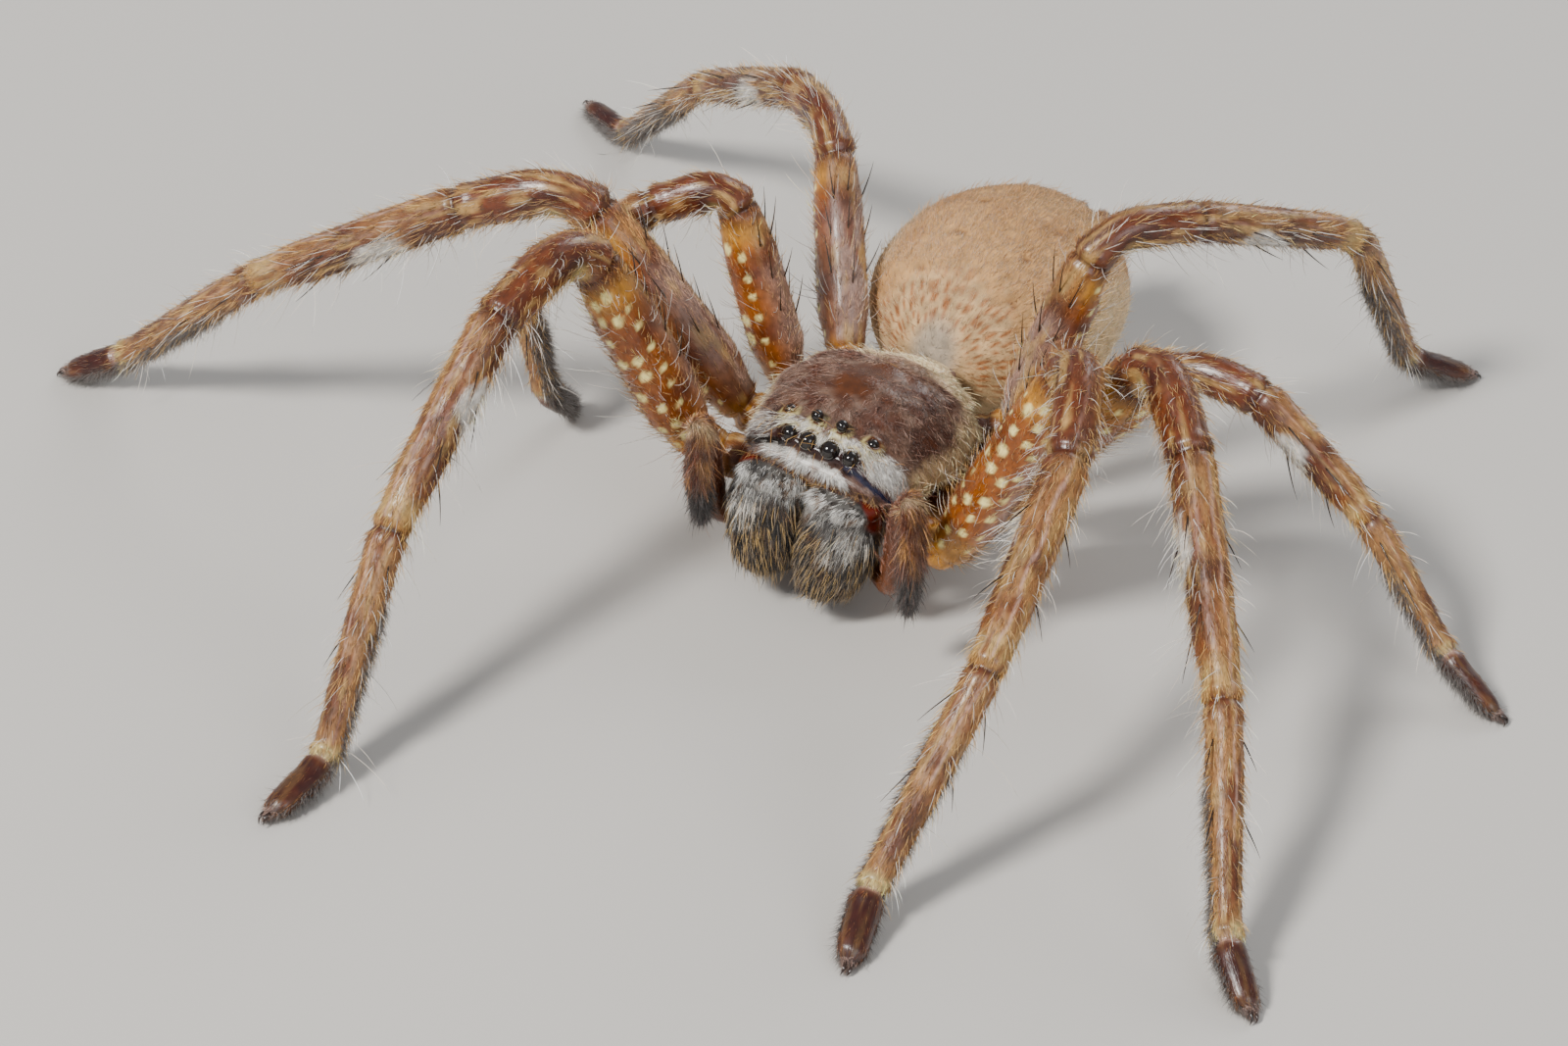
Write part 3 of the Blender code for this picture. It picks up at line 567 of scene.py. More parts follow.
class Coat:
    """Hairs on a skin, each a thin three-sided spike, gathered into one mesh."""

    def __init__(self, grid, seed):
        self.grid = grid
        self.draw = np.random.RandomState(seed)
        self.vertices = []
        self.faces = []
        self.tints = []
        self.uvs = []
        self.count = 0

    def grow(self, count, density, *shape, **options):
        """Hairs at random roots, where the density allows. The rest is as plant takes it."""
        row, column = self.grid.roots(count, density, self.draw)
        self.plant(row, column, *shape, **options)

    def plant(self, row, column, length, lean, radius, colour, bends=1, swirl=12.0,
              settle=0.5, lie=None, spread=0.25, sink=0.05):
        """Hairs at given roots. lean is their angle from the skin, settle the share of it
        that is lost by the tip, swirl their scatter in degrees to either side of the lie."""
        count = len(row)
        draw = self.draw
        root = self.grid.sample(self.grid.points, row, column)
        normal = unit(self.grid.sample(self.grid.normal, row, column))
        if lie is None:
            lie_here = self.grid.sample(self.grid.lie, row, column)
        else:
            lie_here = lie(root, row, column)
        lie_here = unit(lie_here - normal * np.sum(lie_here * normal, -1, keepdims=True))
        side = np.cross(normal, lie_here)
        angle = np.radians(draw.normal(0.0, swirl, count))[:, None]
        lie_here = lie_here * np.cos(angle) + side * np.sin(angle)
        side = np.cross(normal, lie_here)
        reach = np.broadcast_to(length, (count,)) * np.clip(
            draw.normal(1.0, spread, count), 0.4, 1.7)
        up = np.radians(np.clip(lean * draw.normal(1.0, 0.25, count), 2.0, 95.0))[:, None]
        down = up * (1.0 - settle)
        first = lie_here * np.cos(up) + normal * np.sin(up)
        last = lie_here * np.cos(down) + normal * np.sin(down)
        rings = []
        shade = []
        flat = []
        around = once_round(3)
        for i in range(bends + 1):
            share = i / bends
            centre = root - normal * sink + reach[:, None] * (
                first * share + (last - first) * share * share / 2.0)
            if i == bends:
                rings.append(centre[:, None, :])
                shade.append(np.full((count, 1), share))
                flat.append(np.zeros((1, 2)))
                break
            heading = unit(first + (last - first) * share)
            other = np.cross(heading, side)
            thick = radius * (1.0 - 0.55 * share)
            rings.append(centre[:, None, :] + spokes(side, other, around) * thick)
            shade.append(np.full((count, 3), share))
            rim = BAKE_PATCH / 2.0 * (1.0 - share)
            flat.append(np.stack((np.cos(around), np.sin(around)), -1) * rim)
        points = np.concatenate(rings, axis=1)
        points[..., 2] = np.maximum(points[..., 2], FLOOR_GAP)
        shade = np.concatenate(shade, axis=1)
        root_tint, tip_tint = colour(root, row, column, draw)
        tints = mix(root_tint[:, None, :], tip_tint[:, None, :], shade)
        rows, columns = self.grid.points.shape[:2]
        home = np.stack((column % columns / columns, row / (rows - 1)), -1)
        home = 0.01 + 0.98 * home
        uvs = home[:, None, :] + np.concatenate(flat)[None, :, :]
        pattern = [(0, 2, 1)]
        for i in range(bends - 1):
            for j in range(3):
                k = (j + 1) % 3
                pattern.append((3 * i + j, 3 * i + k, 3 * i + 3 + k))
                pattern.append((3 * i + j, 3 * i + 3 + k, 3 * i + 3 + j))
        top = 3 * (bends - 1)
        pattern += [(top + j, top + (j + 1) % 3, top + 3) for j in range(3)]
        each = points.shape[1]
        faces = np.array(pattern)[None] + (np.arange(count) * each)[:, None, None]
        self.vertices.append(points.reshape(-1, 3))
        self.faces.append(faces.reshape(-1, 3) + self.count)
        self.tints.append(tints.reshape(-1, 3))
        self.uvs.append(uvs.reshape(-1, 2))
        self.count += count * each

    def build(self, name, material):
        faces = np.concatenate(self.faces)
        return make_mesh(name, np.concatenate(self.vertices), [faces], material,
                         np.concatenate(self.tints), uvs=np.concatenate(self.uvs))


def varied(tint, draw, spread=0.22, dark=0.0):
    """A colour for each hair, lighter or darker than its place on the skin."""
    count = len(tint)
    light = np.exp(draw.normal(0.0, spread, count))
    if dark:
        light = np.where(draw.rand(count) < dark, light * 0.35, light)
    return tint * light[:, None]


def one_tint(name, spread, dark, low, high):
    """A function that gives root and tip colours of hairs that share a tint."""
    def colour(root, row, column, draw):
        tint = varied(np.tile(TINTS[name], (len(row), 1)), draw, spread, dark)
        return tint * low, tint * high
    return colour


def patterned(marking, spread, dark, low, high):
    """A function that gives root and tip colours of hairs in a body part's pattern."""
    def colour(root, row, column, draw):
        tint = varied(marking(body_coordinates(root)), draw, spread, dark)
        return tint * low, tint * high
    return colour


def body_lie(direction):
    """A function that gives the lie of hairs from one that works in the body frame."""
    def lie(root, row, column):
        return direction(body_coordinates(root)) @ BODY_TURN.T
    return lie


class Leg:
    """One leg: its path in the world, its girth, its skin and its markings."""

    def __init__(self, side_name, number):
        self.side = 1.0 if side_name == "left" else -1.0
        self.name = f"leg_{side_name}_{number}"
        self.pair = LEG_PAIRS[number]
        self.girth = self.pair.girth
        self.arc = FEMUR_RADIUS * self.girth
        self.seed = 100 + 10 * number + (1 if side_name == "left" else 0)
        tip_height = 0.0
        for _ in range(FOOT_TRIALS):
            self.lay(STANCES[side_name, number], tip_height)
            tip_height -= self.lowest_point() + FOOT_SINK

    def lay(self, stance, tip_height):
        pair = self.pair
        corners = [self.put(pair.coxa_root), self.put(pair.hip)]
        lifts = [math.radians(angle) for angle in stance.lift]
        for i, length in enumerate(pair.lengths):
            if i == 3:
                lifts.append(math.asin((stance.ankle - corners[-1].z) / length))
            if i == 4:
                lifts.append(math.asin((tip_height - corners[-1].z) / length))
            heading = math.radians(stance.swing[i])
            step = Vector((self.side * math.sin(heading) * math.cos(lifts[i]),
                           -math.cos(heading) * math.cos(lifts[i]), math.sin(lifts[i])))
            corners.append(corners[-1] + step * length)
        self.path = BentPath(corners, [share * pair.lengths[1] for share in BEND_REACHES])
        self.hinge = self.path.direction(1).cross(self.path.direction(3)).normalized()
        marks = self.path.marks
        self.cuts = marks[:2] + [marks[2] - KNEE_CUT * pair.lengths[1]] + marks[3:]
        self.total = marks[-1]
        self.girth_stations = []
        for i, segment in enumerate(SEGMENTS):
            for share, width, height in LEG_GIRTHS[segment]:
                place = marks[i] + share * (marks[i + 1] - marks[i])
                if not self.girth_stations or place > self.girth_stations[-1][0] + 0.2:
                    self.girth_stations.append((place, width * self.girth,
                                                height * self.girth))

    def put(self, place):
        return BODY_TO_WORLD @ Vector((self.side * place[0], place[1], place[2]))

    def lowest_point(self):
        places = np.linspace(self.cuts[5], self.cuts[6], 6)
        return self.rings(places, 20, 0.0)[..., 2].min()

    def frames(self, places):
        """Points, tangents, backs, fronts and bends at several places along the leg."""
        found = []
        for s in places:
            point, tangent, bend = self.path.at(s)
            back = tangent.cross(self.hinge).normalized()
            fore = tangent.cross(back) * self.side
            found.append((point, tangent, back, fore, bend))
        return [np.array([row[i] for row in found]) for i in range(5)]

    def rings(self, places, sides, inset):
        points, tangents, backs, fores, bends = self.frames(places)
        girths = np.array([blend_along(self.girth_stations, s) for s in places])
        half_width = girths[:, :1] / 2 - inset
        half_height = girths[:, 1:] / 2 - inset
        away = spokes(backs * half_height, fores * half_width, once_round(sides))
        return points[:, None, :] + eased_inward(away, bends)

    def make_grid(self):
        places = np.arange(0.0, self.total, LEG_STEP)
        places = np.append(places, self.total - 0.01)
        points = self.rings(places, LEG_SIDES, COAT_DEPTH)
        middles = points.mean(axis=1, keepdims=True)
        left = np.clip((self.total - places) / TIP_ROUNDING, 0.0, 1.0)
        tip = np.sqrt(np.clip(1.0 - (1.0 - left) ** 2, 0.01, 1.0))
        points = middles + (points - middles) * tip[:, None, None]
        turn = np.arange(LEG_SIDES) * 360.0 / LEG_SIDES
        along, around = np.meshgrid(places, turn, indexing="ij")
        self.grid = Grid(points, along, around)
        self.grid.displace(self.joint_relief(along, around))
        self.grid.keep_above_floor()
        self.find_spots()
        self.grid.tint = self.skin_tint(along, around)
        self.grid.gloss = np.clip(1.0 - 0.9 * self.hairiness(along, around), 0.0, 1.0)
        self.grid.flow = self.drawn_out(along, around)

    def joint_relief(self, s, turn):
        """Grooves at the joints, swollen rims beside them, and fine unevenness."""
        height = np.zeros(s.shape)
        for i, depth in ((1, 0.22), (3, 0.18), (4, 0.12), (5, 0.18)):
            height -= depth * self.girth * bell(s, self.cuts[i], 0.15)
            height += 0.09 * bell(s, self.cuts[i] - 0.5, 0.32)
            height += 0.05 * bell(s, self.cuts[i] + 0.6, 0.4)
        knee = self.cuts[2]
        upper = np.cos(np.radians(turn)) > 0
        height -= np.where(upper, 0.22, 0.05) * bell(s, knee, 0.18)
        height += np.where(upper, 0.1, 0.0) * bell(s, knee + 0.45, 0.3)
        height -= 0.16 * bell(s, self.cuts[1] - 1.35, 0.18)
        height += 0.04 * (noise(self.grid.points, 0.8, self.seed) - 0.5)
        return height

    def segment_of(self, s):
        return np.clip(np.searchsorted(self.cuts, s, side="right") - 1, 0, 5)

    def share_of(self, s, index):
        return (s - self.cuts[index]) / (self.cuts[index + 1] - self.cuts[index])

    def find_spots(self):
        """Pale spots in uneven rows on the front and underside of the femur."""
        draw = np.random.RandomState(self.seed + 5)
        self.spots = []
        start, end = self.cuts[1], self.cuts[2]
        for turn, largest in SPOT_ROWS:
            s = start + draw.uniform(0.8, 1.7)
            while s < end - 1.0:
                size = largest * draw.uniform(0.68, 1.0)
                spot = (s, turn + draw.normal(0, 4), size)
                if all(self.between(spot, other) > 0.8 for other in self.spots):
                    self.spots.append(spot)
                s += draw.uniform(0.95, 1.5)

    def between(self, first, second):
        """Distance over the skin between two places given by length and turn."""
        gap = degrees_apart(first[1], second[1])
        return math.hypot(first[0] - second[0], math.radians(gap) * self.arc)

    def drawn_out(self, s, turn):
        """Coordinates in which a pattern comes out long and narrow along the leg."""
        angle = np.radians(turn)
        return np.stack((s / 4.5, np.cos(angle) * 1.2, np.sin(angle) * 1.2), -1)

    def dashes(self, s, turn):
        """Short brown dashes where the coat is thin, on every hairy part."""
        flow = self.drawn_out(s, turn)
        share = ramp(0.52, 0.68, noise(flow, 0.24, self.seed + 1))
        patches = ramp(0.3, 0.6, noise(flow, 0.9, self.seed + 4))
        return share * (0.35 + 0.65 * patches)

    def spot_share(self, s, turn):
        share = np.zeros(np.shape(s))
        for place, middle, size in self.spots:
            near = np.abs(s - place) < 1.0
            across = np.radians(degrees_apart(turn, middle)) * self.arc
            away = np.sqrt(((s - place) / 1.15) ** 2 + across ** 2)
            share = np.maximum(share, near * ramp(size * 1.25, size * 0.75, away))
        return share

    def bare_lines(self, s, turn):
        """Narrow hairless lines along the upper side of patella, tibia and metatarsus, where the
        skin tint also paints a highlight.
        """
        share = np.zeros(np.shape(s))
        for middle, width, strength in BARE_LINES:
            aside = degrees_apart(turn, middle) - 3.0 * np.sin(s * 1.7 + middle)
            line = ramp(width * 1.4, width * 0.6, np.abs(aside))
            share = np.maximum(share, strength * line)
        inside = 0.25 * ramp(self.cuts[2] + 1.2, self.cuts[2] + 1.8, s)
        inside = inside + 0.75 * ramp(self.cuts[3], self.cuts[3] + 1.2, s)
        inside = inside * ramp(self.cuts[5] - 3.5, self.cuts[5] - 6.0, s)
        for joint in (self.cuts[3], self.cuts[4]):
            inside = inside * ramp(0.2, 0.6, np.abs(s - joint))
        return share * inside

    def white_patch(self, s, turn):
        """A ragged white patch low on the front of the tibia."""
        ragged = noise(self.drawn_out(s, turn) + 3.1, 0.2, self.seed + 6) - 0.5
        along = np.abs(self.share_of(s, 3) - 0.37) / 0.13
        gap = degrees_apart(turn, 135.0)
        return ramp(1.15, 0.75, np.hypot(along, gap / 62.0) + 0.8 * ragged)

    def marking(self, s, turn):
        """The colour pattern that skin and coat share."""
        colour = np.zeros(np.shape(s) + (3,))
        segment = self.segment_of(s)
        for index, name in enumerate(SEGMENTS):
            here = segment == index
            if np.any(here):
                share = self.share_of(s[here], index)
                colour[here] = faces_colour(name, share, turn[here])
        above = ramp(-0.35, 0.25, np.cos(np.radians(turn + 35)))
        hairy = np.where(segment == 1, above, np.where(segment == 5, 0.2, 1.0))
        pale = noise(self.drawn_out(s, turn) + 7.3, 0.3, self.seed + 2)
        return tinted(colour, ("umber", 0.85 * self.dashes(s, turn) * hairy),
                      ("straw", 0.5 * ramp(0.58, 0.8, pale) * hairy),
                      ("white", 0.9 * self.white_patch(s, turn)),
                      ("cream", self.spot_share(s, turn)))

    def hairiness(self, s, turn):
        """How much of the skin the short coat hides, from 0 to 1."""
        segment = self.segment_of(s)
        angle = np.radians(turn)
        above = ramp(-0.3, 0.35, np.cos(np.radians(turn + 35)))
        femur = 0.16 + 0.84 * above
        near_knee = ramp(0.86, 0.94, self.share_of(s, 1))
        femur = femur + (0.75 - femur) * near_knee
        patella = 0.8 - 0.4 * ramp(0.0, 0.6, np.sin(angle))
        share = np.select([segment == 0, segment == 1, segment == 2, segment == 5],
                          [0.35, femur, patella, 0.2 + 0.6 * (np.cos(angle) < 0.2)], 0.95)
        share = share * (1.0 - 0.6 * bell(s, self.cuts[3] - 1.4, 1.5)
                         * ramp(0.2, 0.8, np.sin(angle)))
        share = share * (1.0 - 0.8 * bell(s, self.cuts[1] - 0.2, 0.8))
        knee = ramp(0.15, 0.3, self.share_of(s, 2)) * ramp(0.95, 0.85, self.share_of(s, 2))
        ovals = hill(33, 24, turn) + hill(327, 24, turn)
        share = share * (1.0 - 0.85 * knee * np.clip(ovals, 0.0, 1.0))
        for cut in self.cuts[2:6]:
            share = share * (1.0 - 0.8 * bell(s, cut, 0.16))
        share = share * (1.0 - 0.75 * self.dashes(s, turn))
        return share * (1.0 - 0.95 * self.bare_lines(s, turn))

    def skin_tint(self, s, turn):
        colour = self.marking(s, turn)
        hairy = self.hairiness(s, turn)
        colour = colour * (1.0 - 0.45 * hairy)[..., None]
        colour = colour * np.where(self.segment_of(s) == 5, 0.72, 1.0)[..., None]
        seams = [(TINTS["oxblood"] * 0.6, 0.85 * bell(s, cut, 0.11))
                 for cut in self.cuts[2:5]]
        # The mauve along the hairless lines is a painted highlight, where their bare glossy skin
        # shines
        return tinted(colour, ("mauve", 0.75 * self.bare_lines(s, turn)), *seams,
                      ("mauve", 0.7 * bell(s, self.cuts[5], 0.2)))

    def pattern_at(self, row, column):
        s = self.grid.sample(self.grid.along, row, column)
        turn = column * 360.0 / LEG_SIDES % 360.0
        return s, turn

    def coat_colour(self, lighten=1.15, tip=1.25, warm="tan", share=0.25, dark=0.12):
        """A function that gives root and tip colours of hairs in this leg's pattern."""
        def colour(root, row, column, draw):
            s, turn = self.pattern_at(row, column)
            tint = mix(self.marking(s, turn), TINTS[warm], share)
            tint = varied(tint * lighten, draw, 0.25, dark)
            return tint * 0.8, tint * tip
        return colour

    def make_coat(self, hair):
        grid = self.grid
        s, turn = grid.along, grid.around
        segment = self.segment_of(s)
        area = self.girth ** 2 * self.total / USUAL_LEG
        angle = np.radians(turn)
        inside = s > 1.0
        coat = Coat(grid, self.seed + 3)
        hairy = self.hairiness(s, turn) * inside * (s < self.total - 0.15)
        coat.grow(int(16000 * area), hairy, 0.55 * self.girth, 12.0, 0.023,
                  self.coat_colour())
        belly = ramp(0.2, -0.7, np.cos(angle))
        flanks = np.abs(np.sin(angle))
        middle = inside * (segment >= 1) * (segment < 5)
        middle = middle * np.where(segment == 1, 0.55, 1.0)
        golden = self.coat_colour(1.25, 1.35, "straw", 0.5, 0.06)
        coat.grow(int(2300 * area), middle * (0.5 + 0.6 * belly), 0.85 * self.girth, 40.0,
                  0.017, golden, bends=2, settle=0.6, swirl=16.0)
        pale = self.coat_colour(1.15, 1.15, "white", 0.7, 0.0)
        coat.grow(int(560 * area), middle * (0.25 + 0.8 * belly + 0.5 * flanks),
                  1.35 * self.girth, 56.0, 0.016, pale, bends=4, settle=0.65, swirl=14.0)
        coat.grow(int(75 * area), middle * (0.05 + 1.0 * belly), 2.5 * self.girth, 62.0,
                  0.019, pale, bends=5, settle=0.35, swirl=14.0, spread=0.2)
        self.grow_spots(coat)
        self.grow_scopula(coat)
        return coat.build(f"{self.name}_coat", hair)

    def grow_spots(self, coat):
        draw = coat.draw
        rows = []
        columns = []
        for place, middle, size in self.spots:
            count = int(760 * size)
            away = size * np.sqrt(draw.rand(count))
            angle = draw.rand(count) * 2.0 * np.pi
            s = place - 0.1 + away * np.cos(angle) * 1.15
            turn = middle + np.degrees(away * np.sin(angle) / self.arc)
            rows.append(s / LEG_STEP)
            columns.append(turn % 360.0 * LEG_SIDES / 360.0)
        coat.plant(np.concatenate(rows), np.concatenate(columns), 0.2, 12.0, 0.028,
                   one_tint("cream", 0.1, 0.0, 1.0, 1.0), swirl=14.0)

    def grow_scopula(self, coat):
        """Brush of dense dark hair under the foot, and the pale tuft between its claws."""
        s, turn = self.grid.along, self.grid.around
        below = ramp(0.25, -0.1, np.cos(np.radians(turn)))
        start = self.cuts[4] + 0.25 * (self.cuts[5] - self.cuts[4])
        brush = below * ramp(start, start + 1.5, s) * (s < self.total - 0.1)

        def dark(root, row, column, draw):
            tint = mix(TINTS["charcoal"], TINTS["ash"], draw.rand(len(row)))
            return tint, np.tile(TINTS["ash"] * 1.5, (len(row), 1))
        coat.grow(int(3600 * self.girth), brush, 0.58, 58.0, 0.015, dark, settle=0.4,
                  swirl=25.0)
        tuft = (s > self.total - 0.6) * (s < self.total - 0.05) * 1.0

        def pink(root, row, column, draw):
            tint = mix(TINTS["charcoal"], TINTS["mauve"], draw.rand(len(row)))
            return tint, tint * 1.5
        coat.grow(int(360 * self.girth), tuft, 0.36, 42.0, 0.018, pink, settle=0.4,
                  swirl=40.0)


def chain(points, corners):
    """Distance of points from the line through several corners."""
    return np.min([capsule(points, a, b) for a, b in zip(corners, corners[1:])], axis=0)


def capsule(points, start, end):
    """Distance of points from the stretch between two points."""
    start = np.asarray(start, float)
    line = np.asarray(end, float) - start
    share = np.clip(((points - start) @ line) / (line @ line), 0.0, 1.0)
    return np.linalg.norm(points - start - share[..., None] * line, axis=-1)


def tube_grid(points, radii, sides, guide):
    """A skin round a line of points, with its own radius at each."""
    points = np.asarray(points, float)
    tangents = unit(np.gradient(points, axis=0))
    side = unit(np.cross(tangents, np.asarray(guide, float)))
    other = np.cross(tangents, side)
    away = spokes(side, other, once_round(sides))
    return Grid(points[:, None, :] + away * np.asarray(radii, float)[:, None, None])


def arc_points(start, knee, end, count):
    """Points of a smooth curve from start to end that leans towards the knee."""
    share = np.linspace(0.0, 1.0, count)[:, None]
    start, knee, end = (np.asarray(p, float) for p in (start, knee, end))
    return start * (1 - share) ** 2 + knee * 2 * share * (1 - share) + end * share ** 2


def join_grids(name, grids, material):
    """Several small skins as the separate surfaces of one mesh."""
    vertices = []
    faces = []
    tints = []
    gloss = []
    count = 0
    for grid in grids:
        points, groups, tint, shine, _ = grid.arrays()
        vertices.append(points)
        faces += [group + count for group in groups]
        tints.append(tint)
        gloss.append(shine)
        count += len(points)
    vertices = np.concatenate(vertices)
    return make_mesh(name, vertices, faces, material, np.concatenate(tints),
                     np.concatenate(gloss), vertices)


def carapace_ring(y, turn):
    half = blend_along(CARAPACE_HALF_WIDTHS, y)[0] - COAT_DEPTH
    top = blend_along(CARAPACE_TOPS, y)[0] - COAT_DEPTH
    rim = blend_along(CARAPACE_RIMS, y)[0]
    keel = blend_along(CARAPACE_KEELS, y)[0]
    dome = blend_along(CARAPACE_DOMES, y)[0]
    x = half * outward_power(np.cos(turn), 0.9)
    rise = np.sin(turn)
    above = rim + (top - rim) * np.maximum(rise, 0.0) ** dome
    slope = (np.abs(x) - STERNUM_HALF_WIDTH) / max(half - STERNUM_HALF_WIDTH, 0.5)
    below = np.minimum(keel + np.maximum(slope, 0.0) * (rim - keel), rim - 0.05)
    z = np.where(rise >= 0, above, below)
    return np.stack((x, np.full(len(turn), y), z), -1)


def capped(rings, steps, bulge):
    """Rings that close both ends of a skin with gently domed caps."""
    def cap(ring, way):
        middle = ring.mean(0)
        return [middle + (ring - middle) * share
                + np.array((0.0, way * bulge * math.sqrt(1.0 - share ** 2), 0.0))
                for share in np.linspace(0.06, 0.94, steps)]
    return np.array(cap(rings[0], -1.0) + list(rings) + cap(rings[-1], 1.0)[::-1])


def eye_places():
    """Name, centre in the body frame, outward direction and radius of every eye."""
    found = []
    for name, (place, diameter) in EYE_PAIRS.items():
        for side_name, side in (("left", 1.0), ("right", -1.0)):
            middle = Vector((side * place[0], place[1], place[2]))
            inner = Vector((middle.x * EYE_LEAN, middle.y + EYE_LEAN, middle.z - EYE_LEAN))
            outward = (middle - inner).normalized()
            found.append((f"{name}_{side_name}", middle - outward * EYE_SINK, outward,
                          diameter / 2 * EYE_SWELL[name]))
    return found


class Carapace:
    """The shell over head and thorax, worked out in the body frame."""

    def __init__(self):
        turn = once_round(150)
        rows = []
        for share in np.linspace(0.0, 1.0, 130):
            eased = 0.5 - 0.5 * math.cos(math.pi * share)
            y = CARAPACE_FRONT + (CARAPACE_REAR - CARAPACE_FRONT) * (share + eased) / 2
            rows.append(carapace_ring(y, turn))
        grid = Grid(capped(rows, 14, 0.16))
        grid.displace(self.relief(grid.points, grid.normal))
        self.body_points = grid.points
        hairy = self.hairiness(grid.points)
        grid.tint = self.marking(grid.points) * (1.0 - 0.4 * hairy)[..., None]
        grid.gloss = 1.0 - 0.9 * hairy
        grid.place()
        self.grid = grid

    def relief(self, p, normal):
        x, y, z = p[..., 0], p[..., 1], p[..., 2]
        upper = ramp(0.0, 0.5, normal[..., 2])
        fovea = bell(x, 0.0, 0.16) * hill(2.3, 1.1, y)
        height = -0.22 * fovea * upper
        for bearing in np.radians(FURROW_BEARINGS):
            for side in (1.0, -1.0):
                far = (side * FURROW_REACH * math.sin(bearing),
                       FOVEA_PLACE - FURROW_REACH * math.cos(bearing))
                away = capsule(p[..., :2], (side * 0.5, FOVEA_PLACE), far)
                height = height - 0.07 * bell(away, 0.0, 0.28) * upper
        for _, middle, _, radius in eye_places():
            away = np.linalg.norm(p - np.array(middle), axis=-1)
            height = height + 0.16 * hill(radius * 1.05, radius * 0.8, away)
        return height + 0.05 * (noise(p, 0.9, 31) - 0.5)

    def zones(self, p):
        """Shares of the named areas of colour, by place in the body frame."""
        x, y, z = p[..., 0], p[..., 1], p[..., 2]
        wobble = (noise(p, 0.7, 33) - 0.5) * 0.5
        fringe = (noise(p, 0.16, 34) - 0.5) * 0.35
        face = ramp(-4.0, -4.7, y)
        mirrored = np.stack((np.abs(x), y, z), -1)
        aslant = x + 0.1 - 0.2 * (y + 1.1)
        bare = np.sqrt((aslant / 1.15) ** 2 + ((y + 1.0) / 2.8) ** 2) + wobble
        sockets = np.full(x.shape, 9.0)
        for _, middle, _, radius in eye_places():
            away = np.linalg.norm(p - np.array(middle), axis=-1) - radius
            sockets = np.minimum(sockets, away)
        band = chain(p, CLYPEUS_BAND) + 1.3 * fringe
        streak = chain(mirrored, REFLECTING_STREAK) + 0.4 * fringe
        cheek = chain(mirrored, CHEEK) + wobble * 0.6 + fringe
        between = chain(mirrored, BETWEEN_EYES) + fringe * 1.4
        front_row = chain(mirrored, FRONT_EYE_ROW) + fringe
        margin = ramp(1.2, 0.55, z + 0.4 * wobble) * ramp(-4.7, -4.0, y) * (z > -0.6)
        return {
            "bare": ramp(1.25, 0.65, bare) * (z > 0),
            "band": ramp(0.3, 0.12, band) * face,
            "streak": ramp(0.27, 0.13, streak) * face,
            # On the right side (x < 0) the white of the cheek and between the eyes is held back:
            # painted shade on the far side
            "cheek": ramp(0.8, 0.4, cheek) * face * np.where(x > 0, 1.0, 0.3),
            "between": ramp(0.42, 0.2, between) * face * (0.4 + 0.6 * ramp(-1.5, -0.5, x)),
            "front_row": ramp(0.55, 0.3, front_row) * face,
            "rings": ramp(0.34, 0.2, sockets) * ramp(-5.4, -5.1, y) * face,
            "sockets": ramp(0.2, 0.1, sockets),
            "far_side_shade": ramp(0.85, 0.55, chain(p, SHADED_FAR_SIDE) + 0.7 * wobble + fringe),
            "margin": margin,
        }

    def marking(self, p):
        zones = self.zones(p)
        mottle = noise(p, 0.5, 35)
        rear = ramp(-5.4, -5.1, p[..., 1])
        socket = mix(TINTS["oxblood"] * 0.3, TINTS["chestnut"] * 0.8, rear)
        # Painted reflection: the bare streak is black, with the sky's blue reflected on it
        # towards the left side
        streak_reflection = mix(TINTS["black"], TINTS["sky_reflection_blue"], 0.7 * ramp(0.0, 1.0, p[..., 0]))
        return tinted(
            TINTS["mahogany"], ("lilac", ramp(0.2, 0.95, mottle)),
            ("chestnut", 0.5 * self.thin_places(p)), ("mauve", 0.45 * ramp(1.4, 0.2, p[..., 2])),
            ("chestnut", zones["bare"]), (TINTS["sand"] * 1.15, 0.95 * zones["margin"]),
            ("white", 0.95 * zones["cheek"]),
            # Painted shade darkening the far, right side of the face
            (TINTS["oxblood"] * 0.8, 0.85 * zones["far_side_shade"]),
            (TINTS["oxblood"] * 0.5, zones["front_row"]), ("white", 0.9 * zones["between"]),
            ("cream", 0.85 * zones["rings"]), (socket, zones["sockets"]),
            ("white", zones["band"]), (streak_reflection, zones["streak"]))

    def thin_places(self, p):
        """Where the short coat of the dome is rubbed thin and the shell shows."""
        return ramp(0.5, 0.68, noise(p, 0.42, 36)) * ramp(-4.6, -4.0, p[..., 1])

    def hairiness(self, p):
        zones = self.zones(p)
        share = 1.0 - 0.95 * zones["bare"]
        share = share * (1.0 - 0.55 * self.thin_places(p))
        share = share * (1.0 - 0.9 * zones["streak"])
        share = share * (1.0 - 0.55 * zones["front_row"] * (1.0 - zones["between"]))
        lower_face = ramp(0.45, 0.25, p[..., 2]) * ramp(-5.9, -6.05, p[..., 1])
        share = share * (1.0 - 0.95 * lower_face)
        return share * (1.0 - zones["sockets"])

    def make_coat(self, hair):
        grid = self.grid
        p = self.body_points
        coat = Coat(grid, 41)
        hairy = self.hairiness(p) * (p[..., 2] > -0.5)
        face = ramp(-4.2, -5.0, p[..., 1])

        def colour(root, row, column, draw):
            p = body_coordinates(root)
            tint = self.marking(p)
            glint = (draw.rand(len(p)) < 0.3) * ramp(-4.4, -3.6, p[:, 1])
            tint = mix(tint, TINTS["mauve"], 0.5 * glint)
            tint = varied(tint * 1.15, draw, 0.28, 0.12)
            return tint * 0.8, tint * 1.3

